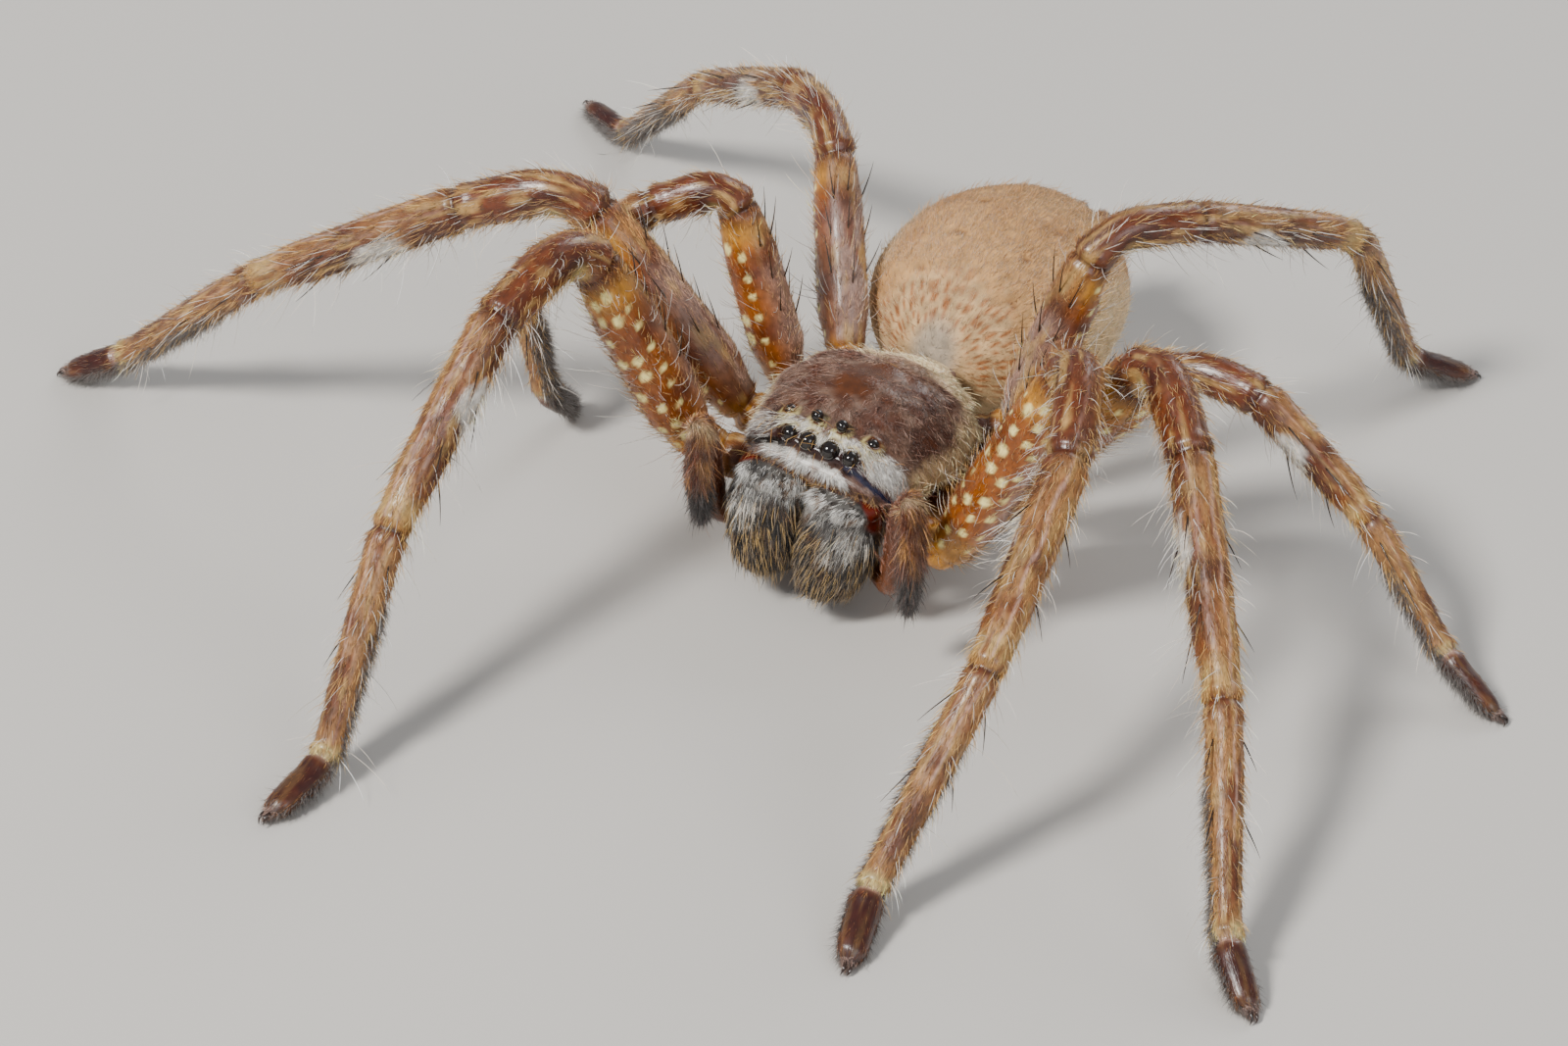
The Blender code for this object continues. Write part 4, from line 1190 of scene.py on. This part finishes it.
        @body_lie
        def dome_lie(p):
            out = np.stack((p[:, 0] * 0.35, np.full(len(p), -1.0), np.full(len(p), -0.3)), -1)
            swirl = noise(p, 1.3, 43)[:, None] - 0.5
            return out + np.cross(out, np.array((0.0, 0.0, 1.0))) * swirl * 1.6

        @body_lie
        def face_lie(p):
            aside = 0.9 * np.sign(p[:, 0]) * ramp(0.3, 1.6, np.abs(p[:, 0]))
            return np.stack((aside, np.full(len(p), -0.35), np.full(len(p), -0.55)), -1)

        coat.grow(17500, hairy * (1.0 - face), 0.5, 13.0, 0.019, colour,
                  lie=dome_lie, swirl=26.0)
        coat.grow(12500, hairy * face, 0.42, 14.0, 0.018, colour,
                  lie=face_lie, swirl=14.0)
        coat.grow(500, hairy * (1.0 - face), 0.9, 35.0, 0.018, colour, bends=3,
                  lie=dome_lie, swirl=45.0)

        def golden(root, row, column, draw):
            tint = varied(mix(TINTS["straw"], TINTS["tan"], draw.rand(len(row))), draw, 0.2)
            return tint * 0.7, tint * 1.1

        @body_lie
        def forward(p):
            return np.tile(np.array((0.1, -0.5, -0.9)), (len(p), 1))
        eyes_area = face * ramp(1.2, 1.6, p[..., 2])
        coat.grow(50, eyes_area, 1.1, 60.0, 0.016, golden, bends=5, lie=forward, swirl=30.0)
        brow = hill(0.4, 0.3, p[..., 2]) * ramp(-5.9, -6.05, p[..., 1])
        coat.grow(110, brow, 1.05, 30.0, 0.010, golden, bends=4, lie=forward, swirl=24.0,
                  settle=0.9)
        zones = self.zones(p)
        pale = np.maximum(zones["cheek"], np.maximum(zones["between"], zones["band"]))
        snowy = patterned(lambda p: mix(self.marking(p), TINTS["white"], 0.6), 0.2, 0.0,
                          0.85, 1.2)
        coat.grow(2600, pale * self.hairiness(p), 0.62, 20.0, 0.016, snowy, bends=2,
                  lie=face_lie, swirl=12.0, settle=0.7)
        return coat.build("carapace_coat", hair)


class Abdomen:
    """The soft round abdomen, worked out in the body frame."""

    def __init__(self):
        turn = once_round(150)
        rings = []
        for share in np.linspace(0.004, 0.985, 140):
            along = -math.cos(math.pi * share)
            full = (1.0 - abs(along) ** ABDOMEN_ROUNDING) ** 0.5
            half = ABDOMEN_HALF.x * full * (1.0 - ABDOMEN_TAPER * along) - COAT_DEPTH * 1.5
            tall = ABDOMEN_HALF.z * full - COAT_DEPTH * 1.5
            half = max(half, 0.05)
            tall = max(tall, 0.05)
            sag = -ABDOMEN_SAG * full * np.sin(turn) ** 2
            y = ABDOMEN_MIDDLE.y + ABDOMEN_HALF.y * along
            rings.append(np.stack((
                ABDOMEN_MIDDLE.x + half * np.cos(turn), np.full(len(turn), y),
                ABDOMEN_MIDDLE.z + tall * np.sin(turn) + sag), -1))
        grid = Grid(np.array(rings))
        grid.displace(self.relief(grid.points))
        self.body_points = grid.points
        grid.tint = self.marking(grid.points) * 0.8
        grid.gloss = np.full(grid.points.shape[:2], 0.1)
        grid.place()
        self.grid = grid

    def dimples(self):
        """Pairs of small sunk spots on the back, either side of the middle."""
        return [(ABDOMEN_MIDDLE.x + side * x, y, size)
                for x, y, size in DIMPLE_PAIRS for side in (1.0, -1.0)]

    def relief(self, p):
        height = 0.25 * (noise(p, 3.4, 51) - 0.5) + 0.06 * (noise(p, 1.1, 52) - 0.5)
        for x, y, size in self.dimples():
            away = np.hypot(p[..., 0] - x, (p[..., 1] - y) * 1.3)
            above = p[..., 2] > ABDOMEN_MIDDLE.z
            height = height - 0.16 * bell(away, 0.0, size) * above
        return height

    def marking(self, p):
        x = p[..., 0] - ABDOMEN_MIDDLE.x
        y = p[..., 1]
        z = p[..., 2]
        mottle = noise(p, 1.6, 53)
        colour = mix(TINTS["buff"], TINTS["tan"], 0.55 * ramp(0.35, 0.8, mottle))
        bearing = np.degrees(np.arctan2(x, z - FAN_LEVEL))
        reach = np.sqrt(x ** 2 + (z - FAN_LEVEL) ** 2 + (y - FRONT_OF_ABDOMEN) ** 2)
        ragged = reach + 1.6 * (noise(p, 0.7, 56) - 0.5)
        front = ramp(5.7, 4.3, ragged) * ramp(145.0, 115.0, np.abs(bearing))
        row = reach / 0.78
        column = bearing / 7.2 + 0.5 * (np.floor(row) % 2)
        cell = np.stack((np.floor(column), np.floor(row), np.zeros(x.shape)), -1)
        across = column % 1.0 - 0.5 + 0.5 * (noise(cell, 1.0, 54) - 0.5)
        down = row % 1.0 - 0.5 + 0.4 * (noise(cell, 1.0, 55) - 0.5)
        size = 0.2 + 0.16 * noise(cell, 1.0, 59)
        away = np.hypot(across * 1.25, down * 0.62) + 0.12 * (noise(p, 0.2, 60) - 0.5)
        dots = ramp(size * 1.3, size * 0.6, away) * ramp(1.8, 2.4, reach)
        side = ramp(4.4, 6.0, np.abs(x)) + ramp(-1.5, -4.0, z)
        grey = ramp(1.7, 0.7, np.hypot(x + 0.1, (z + 1.1) * 0.8)) * ramp(8.3, 7.2, y)
        colour = tinted(colour, ("sand", 0.4 * front), ("brick", 0.9 * dots * front),
                        ("sand", 0.65 * np.clip(side, 0.0, 1.0)), ("slate", 0.6 * grey))
        for dimple_x, dimple_y, size in self.dimples():
            away = np.hypot(p[..., 0] - dimple_x, (y - dimple_y) * 1.4)
            above = z > ABDOMEN_MIDDLE.z
            colour = mix(colour, TINTS["brick"] * 0.6, 0.8 * above * bell(away, 0.0, size))
        return colour

    def make_coats(self, hair):
        pieces = []
        upper = self.body_points[..., 2] > ABDOMEN_MIDDLE.z
        front = ramp(10.2, 9.0, self.body_points[..., 1])
        colour = patterned(self.marking, 0.16, 0.02, 0.935, 1.265)
        for name, where, seed, count in (("upper", upper, 57, 26000),
                                         ("lower", ~upper, 58, 15000)):
            coat = Coat(self.grid, seed)
            coat.grow(count * 3 // 4, where * (1.0 - front), 0.36, 24.0, 0.026, colour,
                      swirl=15.0)
            coat.grow(count // 4, where * front, 0.26, 16.0, 0.026, colour, swirl=12.0)
            coat.grow(count // 20, where * 1.0, 0.8, 42.0, 0.015, colour, bends=2,
                      swirl=20.0)
            pieces.append(coat.build(f"abdomen_coat_{name}", hair))
        return pieces


class Chelicera:
    """One jaw: a stout swollen block under the face, worked out in the body frame."""

    def __init__(self, side):
        self.side = side
        turn = once_round(80)
        rings = [self.ring(0.0, turn, (1.0 - rise ** 3) ** (1.0 / 3.0) + 0.03, rise)
                 for rise in np.linspace(1.0, 0.0, 30)[:-1]]
        rings += [self.ring(share, turn, 1.0, 0.0) for share in np.linspace(0.0, 1.0, 60)]
        rings += [self.ring(1.0, turn, math.sqrt(1.0 - drop ** 2) + 0.03, -0.45 * drop)
                  for drop in np.linspace(0.0, 1.0, 8)[1:]]
        grid = Grid(np.array(rings))
        grid.displace(0.06 * (noise(grid.points, 0.8, 61) - 0.5))
        self.body_points = grid.points
        zones = self.zones(grid.points)
        grid.tint = tinted(self.marking(grid.points) * 0.25, ("black", 0.6),
                           ("oxblood", zones["bare"]), ("scarlet", zones["boss"]))
        grid.gloss = 0.2 + 0.8 * np.maximum(zones["bare"], zones["boss"])
        grid.place()
        self.grid = grid

    def ring(self, share, turn, spread, rise):
        x, y, z, half_width, half_depth = blend_along(CHELICERA_STATIONS, share)
        half_width = (half_width - COAT_DEPTH) * spread
        half_depth = (half_depth - COAT_DEPTH) * spread
        lift = 0.62 * rise
        forward = 0.35 * max(rise, 0.0)
        inner = np.cos(turn) < 0
        across = np.cos(turn) * np.where(inner, 1.12, 1.0)
        ahead = np.where(inner, outward_power(np.sin(turn), 0.8), np.sin(turn))
        return np.stack((self.side * (x + half_width * across),
                         y - forward + half_depth * ahead,
                         np.full(len(turn), z + lift)), -1)

    def zones(self, p):
        mirrored = np.stack((p[..., 0] * self.side, p[..., 1], p[..., 2]), -1)
        wobble = (noise(p, 0.5, 63) - 0.5) * 0.7
        tufts = noise(p * np.array((1.0, 1.0, 0.2)), 0.16, 65)
        white = chain(mirrored, JAW_TUFTS)
        boss = np.linalg.norm(mirrored - np.array(JAW_BOSS), axis=-1)
        return {
            "white": ramp(1.15, 0.65, white + wobble) * ramp(0.3, 0.48, tufts),
            "bare": ramp(-0.4, -0.2, p[..., 2]) * ramp(-6.55, -6.25, p[..., 1]),
            "boss": ramp(0.95, 0.75, boss),
        }

    def marking(self, p):
        zones = self.zones(p)
        mottle = noise(p * np.array((1.0, 1.0, 0.25)), 0.22, 64)
        warm = ramp(0.4, 0.8, noise(p, 0.8, 66)) * ramp(0.3, 0.6, mottle)
        return tinted(TINTS["black"], ("ash", 0.75 * ramp(0.42, 0.75, mottle)),
                      ("tan", 0.55 * warm), ("white", zones["white"]))

    def make_coat(self, name, hair, seed):
        p = self.body_points
        zones = self.zones(p)
        coat = Coat(self.grid, seed)
        hairy = (1.0 - 0.9 * zones["bare"]) * (1.0 - zones["boss"])
        hairy = hairy * (1.0 + ramp(-1.0, -0.4, p[..., 2]))

        def bristle(root, row, column, draw):
            tint = mix(TINTS["straw"], TINTS["ash"], draw.rand(len(row)))
            tint = np.where(draw.rand(len(row), 1) < 0.35, TINTS["black"], tint)
            tint = mix(tint, TINTS["white"], 0.6 * self.zones(body_coordinates(root))["white"])
            tint = varied(tint, draw, 0.25)
            return tint * 0.7, tint * 1.25

        @body_lie
        def downward(q):
            return np.stack((np.full(len(q), -0.22 * self.side),
                             -0.2 - 0.7 * ramp(-1.2, -0.3, q[:, 2]),
                             np.full(len(q), -1.0)), -1)
        end_of_jaw = ramp(-4.6, -5.6, p[..., 2])
        coat.grow(12000, hairy, 0.55, 13.0, 0.019,
                  patterned(self.marking, 0.3, 0.22, 0.75, 1.25), lie=downward, swirl=12.0)
        coat.grow(1700, hairy * ramp(-0.3, -1.6, p[..., 2]) * (1.0 - 0.85 * end_of_jaw),
                  0.95, 19.0, 0.016, bristle, bends=3, lie=downward, swirl=10.0, settle=0.9)
        coat.grow(60, zones["bare"], 0.9, 50.0, 0.011, one_tint("straw", 0.2, 0.0, 0.8, 1.2),
                  bends=4, lie=downward, swirl=30.0, settle=0.9)
        return coat.build(name, hair)


class Palp:
    """One feeler beside the jaws."""

    def __init__(self, side_name, seed):
        self.seed = seed
        corners = [BODY_TO_WORLD @ Vector(corner) for corner in PALPS[side_name]]
        path = BentPath(corners, PALP_REACHES)
        girths = list(zip(path.marks, PALP_GIRTHS))
        self.marks = path.marks
        places = np.arange(0.0, path.marks[-1], 0.12)
        turn = once_round(32)
        rings = []
        for s in places:
            point, tangent, bend = path.at(s)
            left = min((path.marks[-1] - s) / 0.5, 1.0)
            radius = (blend_along(girths, s)[0] / 2 - COAT_DEPTH / 2) * math.sqrt(
                max(1.0 - (1.0 - left) ** 2, 0.02))
            side_on = tangent.cross(PALP_GUIDE).normalized()
            across = tangent.cross(side_on)
            away = spokes(np.array(side_on)[None], np.array(across)[None], turn) * radius
            rings.append(np.array(point) + eased_inward(away, np.array(bend)[None])[0])
        along, around = np.meshgrid(places, np.degrees(turn), indexing="ij")
        self.grid = Grid(np.array(rings), along, around)
        self.grid.tint = self.marking(along, around) * 0.6
        self.grid.gloss = 0.9 * ramp(self.marks[2], self.marks[2] - 1.5, along)

    def marking(self, s, turn):
        top = self.marks[3]
        angle = np.radians(turn)
        stretched = np.stack((s / 1.5, np.cos(angle), np.sin(angle)), -1)
        streak = ramp(0.4, 0.75, noise(stretched, 0.35, self.seed))
        hairy = mix(mix(TINTS["umber"], TINTS["rust"], 0.4), TINTS["tan"], streak)
        dark = mix(TINTS["charcoal"], TINTS["black"], streak)
        return tinted(TINTS["amber"], ("umber", ramp(-1.0, top - 3.0, s)),
                      (hairy, ramp(top - 2.2, top - 1.0, s)),
                      ("sand", 0.6 * hill(top + 0.1, 0.3, s)),
                      (dark, ramp(self.marks[4] + 0.2, self.marks[4] + 1.6, s)))

    def make_coat(self, name, hair):
        coat = Coat(self.grid, self.seed + 1)
        s = self.grid.along

        def colour(root, row, column, draw):
            place = self.grid.sample(self.grid.along, row, column)
            turn = column * 360.0 / self.grid.points.shape[1]
            glint = 0.5 * (draw.rand(len(row)) < 0.2)
            tint = mix(self.marking(place, turn), TINTS["mauve"], glint)
            tint = varied(tint * 1.05, draw, 0.3, 0.15)
            return tint * 0.75, tint * 1.35
        upper = ramp(1.5, 5.5, s)
        foot = ramp(self.marks[3] - 1.2, self.marks[3] + 0.5, s)
        coat.grow(3600, upper, 0.5, 16.0, 0.021, colour, swirl=14.0)
        coat.grow(4000, foot, 0.7, 20.0, 0.020, colour, swirl=16.0)
        coat.grow(260, 0.4 * upper + foot, 1.1, 38.0, 0.016, colour, bends=4, swirl=20.0)
        brush = ramp(self.marks[4] + 0.3, self.marks[4] + 1.6, s)

        def smoky(root, row, column, draw):
            tint = varied(np.tile(TINTS["charcoal"] * 0.6, (len(row), 1)), draw, 0.3, 0.3)
            light = mix(TINTS["charcoal"], TINTS["ash"], draw.rand(len(row)))
            return tint, light
        coat.grow(600, brush, 0.85, 34.0, 0.017, smoky, bends=2, swirl=16.0)
        return coat.build(name, hair)


class Look:
    """A material and short ways to add and join its nodes. Inputs are named with _ for
    each space."""

    def __init__(self, name, **inputs):
        self.material = bpy.data.materials.new(name)
        self.material.use_nodes = True
        self.nodes = self.material.node_tree.nodes
        self.shader = self.nodes["Principled BSDF"]
        self.set(self.shader, inputs)

    def set(self, node, values):
        for key, value in values.items():
            socket = key.replace("_", " ")
            if socket in node.inputs.keys():
                node.inputs[socket].default_value = value
            else:
                setattr(node, key, value)

    def add(self, kind, source=None, output="Fac", socket="Vector", **values):
        """A new node, joined to an output of a source if one is given."""
        node = self.nodes.new("ShaderNode" + kind)
        self.set(node, values)
        if source:
            self.join(source, output, node, socket)
        return node

    def join(self, source, output, target, socket):
        self.material.node_tree.links.new(source.outputs[output], target.inputs[socket])

    def painted(self, name):
        return self.add("Attribute", attribute_name=name)

    def use_tint(self, cloud, **span):
        """The painted tint, made lighter and darker by a cloud."""
        light = self.add("MapRange", cloud, "Fac", "Value", **span)
        scaled = self.add("VectorMath", self.painted("tint"), "Color", 0, operation="SCALE")
        self.join(light, "Result", scaled, "Scale")
        self.join(scaled, "Vector", self.shader, "Base Color")


def skin_material(name, rough_bare, rough_hairy, grain, bump, coat=0.0):
    """Hide: painted markings, finer mottling, gloss where bare and a fine relief."""
    look = Look(name, Coat_Weight=coat, Coat_Roughness=0.18)
    speck = look.add("TexNoise", look.painted("flow"), "Vector", Scale=grain * MM, Detail=4.0)
    blotch = look.add("TexNoise", look.add("TexCoord"), "Object", Scale=grain * 0.28,
                      Detail=2.0)
    look.use_tint(blotch, From_Min=0.3, From_Max=0.7, To_Min=0.72, To_Max=1.25)
    rough = look.add("MapRange", look.painted("gloss"), "Fac", "Value", To_Min=rough_hairy,
                     To_Max=rough_bare)
    look.join(rough, "Result", look.shader, "Roughness")
    relief = look.add("Bump", speck, "Fac", "Height", Strength=0.6, Distance=bump * MM)
    look.join(relief, "Normal", look.shader, "Normal")
    return look.material


def hair_material(name, roughness, sheen):
    """Hair: the colour painted on each hair, with a silky gloss."""
    look = Look(name, Sheen_Weight=sheen, Sheen_Roughness=0.4, Roughness=roughness)
    streak = look.add("TexNoise", look.add("TexCoord"), "Object", Scale=9000.0, Detail=1.0)
    look.use_tint(streak, To_Min=0.85, To_Max=1.15)
    return look.material


def glossy_material(name, dark, light, roughness, grain):
    """Eyes, fangs, claws and spines: two near colours that cloud into each other."""
    look = Look(name, Roughness=roughness, Coat_Weight=0.5, Coat_Roughness=0.05)
    cloud = look.add("TexNoise", look.add("TexCoord"), "Object", Scale=grain, Detail=2.0)
    colours = look.add("ValToRGB", cloud, "Fac", "Fac")
    for stop, place, colour in zip(colours.color_ramp.elements, (0.35, 0.7), (dark, light)):
        stop.position = place
        stop.color = (*colour, 1.0)
    look.join(colours, "Color", look.shader, "Base Color")
    return look.material


def stands_for(piece, slot, *nodes):
    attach(piece, "root")
    if nodes:
        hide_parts(*nodes)
    return piece


def make_spines(leg, horn):
    """The black spines of a leg: fine, sharp and slightly curved towards its tip."""
    draw = np.random.RandomState(leg.seed + 7)
    grids = []
    for index, turn, shares in SPINE_ROWS:
        for share in shares:
            s = leg.cuts[index] + (leg.cuts[index + 1] - leg.cuts[index]) * (
                share + draw.uniform(-0.03, 0.03))
            column = (turn + draw.uniform(-7, 7)) % 360 * LEG_SIDES / 360.0
            at = (np.array([s / LEG_STEP]), np.array([column]))
            root = leg.grid.sample(leg.grid.points, *at)[0]
            normal = unit(leg.grid.sample(leg.grid.normal, *at))[0]
            lie = unit(leg.grid.sample(leg.grid.lie, *at))[0]
            lean = math.radians(27 + draw.uniform(-7, 9))
            heading = lie * math.cos(lean) + normal * math.sin(lean)
            reach = 1.75 * (0.7 + 0.3 * leg.girth) * draw.uniform(0.8, 1.15)
            tip = root + heading * reach + lie * 0.2 * reach
            if tip[2] < 0.3:
                continue
            points = arc_points(root - heading * 0.2, root + heading * reach * 0.55, tip, 8)
            radii = 0.038 * (1.0 - np.linspace(0.0, 1.0, 8) ** 1.6) + 0.006
            grids.append(tube_grid(points, radii, 6, (0.31, 0.2, 0.93)))
    point, tangent, back, fore, _ = (row[0] for row in leg.frames([leg.total - 0.15]))
    for side in (1.0, -1.0):
        root = point + back * 0.12 + fore * 0.16 * side
        knee = root + tangent * 0.42 + back * 0.12
        tip = root + tangent * 0.55 - back * 0.3
        tip[2] = max(tip[2], 0.05)
        points = arc_points(root, knee, tip, 10)
        radii = 0.085 * (1.0 - np.linspace(0.0, 1.0, 10) ** 1.6) + 0.01
        grids.append(tube_grid(points, radii, 8, fore))
    for grid in grids:
        grid.keep_above_floor()
    return join_grids(f"{leg.name}_spines", grids, horn)


def make_eye(name, middle, outward, radius, glass):
    share = np.linspace(0.02, 0.98, 24) * np.pi
    centre = np.array(middle)
    axis = np.array(outward)
    points = centre - axis * (radius * np.cos(share))[:, None]
    grid = tube_grid(points, radius * np.sin(share), 32, (0.9, 0.1, 0.35))
    grid.place()
    stands_for(grid.build(name.replace("eye_", "eyeball_"), glass), "eye", name)


def make_fang(side_name, side, horn):
    start, knee, end = (np.array((side * p[0], p[1], p[2]))
                        for p in (FANG_ROOT, FANG_KNEE, FANG_TIP))
    points = placed(arc_points(start, knee, end, 24))
    radii = 0.36 * (1.0 - np.linspace(0.0, 1.0, 24) ** 1.7) + 0.012
    grid = tube_grid(points, radii, 20, (0.2, 0.9, 0.4))
    stands_for(grid.build(f"fang_horn_{side_name}", horn), "horn", f"fang_{side_name}")


def make_sternum(hide, hair):
    turn = once_round(60) + math.pi / 60
    rings = []
    for y in np.linspace(STERNUM_STATIONS[0][0], STERNUM_STATIONS[-1][0], 60):
        half, top, bottom = blend_along(STERNUM_STATIONS, y)
        x = (half - COAT_DEPTH) * outward_power(np.cos(turn), 0.6)
        z = ((top - bottom) / 2 - COAT_DEPTH) * outward_power(np.sin(turn), 0.6)
        rings.append(np.stack((x, np.full(len(turn), y), (top + bottom) / 2 + z), -1))
    grid = Grid(capped(rings, 8, 0.1))
    lip = bell(grid.points[..., 1], -3.9, 0.14)
    grid.displace(-0.18 * lip + 0.05 * (noise(grid.points, 0.9, 71) - 0.5))
    grid.tint = mix(TINTS["rust"], TINTS["umber"], noise(grid.points, 0.8, 72))
    grid.gloss = np.full(grid.points.shape[:2], 0.6)
    grid.place()
    stands_for(grid.build("sternum_skin", hide), "leg_hide", "sternum")
    coat = Coat(grid, 73)
    below = ramp(0.2, -0.4, grid.normal[..., 2])
    coat.grow(3200, below, 0.7, 30.0, 0.024, one_tint("tan", 0.25, 0.1, 0.7, 1.2),
              swirl=20.0)
    stands_for(coat.build("sternum_coat", hair), "leg_hide")


def make_spinnerets(hide, hair):
    along = -math.cos(math.pi * TAIL_SHARE)
    rear = ABDOMEN_MIDDLE.y + ABDOMEN_HALF.y * along
    middle = np.array((ABDOMEN_MIDDLE.x, rear + 0.5, SPINNERET_LEVEL))
    grids = []
    base = arc_points(middle - (0.0, 0.7, 0.0), middle, middle + (0.0, 0.5, 0.0), 16)
    width = 1.05 * np.sqrt(1.0 - np.linspace(0.0, 0.97, 16) ** 4)
    grids.append(tube_grid(placed(base), width, 32, (0.9, 0.1, 0.3)))
    for x, rise, length in SPINNERET_TUBES:
        root = middle + (x, 0.0, rise)
        tip = middle + (x * 1.5, length, rise - 0.5)
        knee = (root + tip) / 2 + (x * 0.3, 0.0, 0.15)
        points = placed(arc_points(root, knee, tip, 20))
        share = np.linspace(0.0, 1.0, 20)
        radii = 0.36 * (1.0 - 0.35 * share) * np.sqrt(1.0 - share ** 8 * 0.96)
        grids.append(tube_grid(points, radii, 20, (0.9, 0.1, 0.3)))
    for grid in grids:
        grid.tint = mix(TINTS["tan"], TINTS["umber"], noise(grid.points, 0.5, 75))
    stands_for(join_grids("spinneret_skin", grids, hide), "dark_hair", "spinnerets")
    for number, grid in enumerate(grids):
        coat = Coat(grid, 76 + number)
        coat.grow(600, np.ones(grid.points.shape[:2]), 0.5, 26.0, 0.024,
                  one_tint("tan", 0.25, 0.1, 0.7, 1.2))
        stands_for(coat.build(f"spinneret_coat_{number + 1}", hair), "dark_hair")


def make_stage():
    """A plain pale floor and soft studio light."""
    bpy.ops.mesh.primitive_plane_add(size=3.0, location=(0.0, 0.0, 0.0))
    floor = bpy.context.object
    floor.name = "floor"
    look = Look("pale_floor", Base_Color=(0.56, 0.54, 0.51, 1.0), Roughness=0.85)
    floor.data.materials.append(look.material)
    world = bpy.data.worlds.new("studio")
    world.use_nodes = True
    sky = world.node_tree.nodes["Background"]
    sky.inputs["Color"].default_value = (0.92, 0.95, 1.0, 1.0)
    sky.inputs["Strength"].default_value = 0.36
    bpy.context.scene.world = world
    subject = CENTRING * MM + Vector((0.0, 0.0, 0.006))
    lamps = (
        ("key", (-0.14, -0.40, 0.46), 0.14, 5.2, (1.0, 0.97, 0.93)),
        ("fill", (0.55, -0.25, 0.30), 0.40, 1.5, (0.96, 0.98, 1.0)),
        ("back", (0.05, 0.55, 0.38), 0.35, 1.6, (1.0, 1.0, 1.0)),
    )
    for name, place, size, power, colour in lamps:
        lamp = bpy.data.lights.new(name, "AREA")
        lamp.shape = "DISK"
        lamp.size = size
        lamp.energy = power
        lamp.color = colour
        thing = bpy.data.objects.new(name, lamp)
        thing.location = subject + Vector(place)
        thing.rotation_mode = "QUATERNION"
        thing.rotation_quaternion = (-Vector(place)).to_track_quat("-Z", "Y")
        bpy.context.scene.collection.objects.link(thing)


def make_camera():
    azimuth = math.radians(CAMERA_AZIMUTH)
    climb = math.radians(CAMERA_ELEVATION)
    back = Vector((math.sin(azimuth) * math.cos(climb),
                   -math.cos(azimuth) * math.cos(climb), math.sin(climb)))
    right = Vector((math.cos(azimuth), math.sin(azimuth), 0.0))
    up = back.cross(right)
    target = (CENTRING + Vector((0.0, 0.0, CAMERA_LEVEL)) + right * CAMERA_OFFSET[0]
              + up * CAMERA_OFFSET[1])
    lens = bpy.data.cameras.new("camera")
    lens.sensor_width = 36.0
    lens.angle = math.radians(CAMERA_ANGLE)
    lens.clip_start = 0.02
    lens.clip_end = 10.0
    camera = bpy.data.objects.new("camera", lens)
    camera.location = (target + back * CAMERA_DISTANCE) * MM
    camera.rotation_mode = "QUATERNION"
    upright = Matrix((right, up, back)).transposed().to_quaternion()
    roll = Quaternion(back, math.radians(CAMERA_ROLL))
    camera.rotation_quaternion = roll @ upright
    bpy.context.scene.collection.objects.link(camera)
    bpy.context.scene.camera = camera


def main():
    make_camera()
    make_stage()
    hide = skin_material("leg_skin", 0.26, 0.55, 9000.0, 0.05, 0.25)
    shell = skin_material("shell_skin", 0.24, 0.6, 7000.0, 0.05, 0.25)
    soft = skin_material("abdomen_skin", 0.6, 0.8, 6000.0, 0.06)
    hair = hair_material("hair", 0.42, 0.15)
    velvet = hair_material("velvet_hair", 0.6, 0.3)
    horn = glossy_material("black_horn", (0.010, 0.006, 0.005), (0.035, 0.014, 0.008),
                           0.25, 3000.0)
    glass = glossy_material("black_eye", (0.004, 0.003, 0.003), (0.012, 0.007, 0.005),
                            0.04, 2500.0)

    for side_name, number in STANCES:
        leg = Leg(side_name, number)
        leg.make_grid()
        skin = leg.grid.build(f"{leg.name}_skin", hide)
        nodes = [f"{leg.name}_{segment}" for segment in SEGMENTS[1:]]
        stands_for(skin, "leg_hide", *nodes)
        stands_for(leg.make_coat(hair), "tan_hair")
        stands_for(make_spines(leg, horn), "horn")

    carapace = Carapace()
    stands_for(carapace.grid.build("carapace_skin", shell), "shell", "carapace")
    stands_for(carapace.make_coat(hair), "shell")
    for name, middle, outward, radius in eye_places():
        make_eye(name, middle, outward, radius, glass)

    abdomen = Abdomen()
    stands_for(abdomen.grid.build("abdomen_skin", soft), "velvet", "abdomen")
    for piece in abdomen.make_coats(velvet):
        stands_for(piece, "velvet")
    make_spinnerets(soft, hair)
    make_sternum(hide, hair)

    for side_name, side in (("left", 1.0), ("right", -1.0)):
        jaw = Chelicera(side)
        name = f"chelicera_{side_name}"
        stands_for(jaw.grid.build(f"{name}_skin", shell), "face_hair", name)
        seed = 81 if side_name == "left" else 82
        stands_for(jaw.make_coat(f"{name}_coat", hair, seed), "face_hair")
        make_fang(side_name, side, horn)
        palp = Palp(side_name, 90 if side_name == "left" else 93)
        name = f"palp_{side_name}"
        stands_for(palp.grid.build(f"{name}_skin", hide), "leg_hide",
                   f"palp_base_{side_name}", f"palp_foot_{side_name}")
        stands_for(palp.make_coat(f"{name}_coat", hair), "dark_hair")


main()
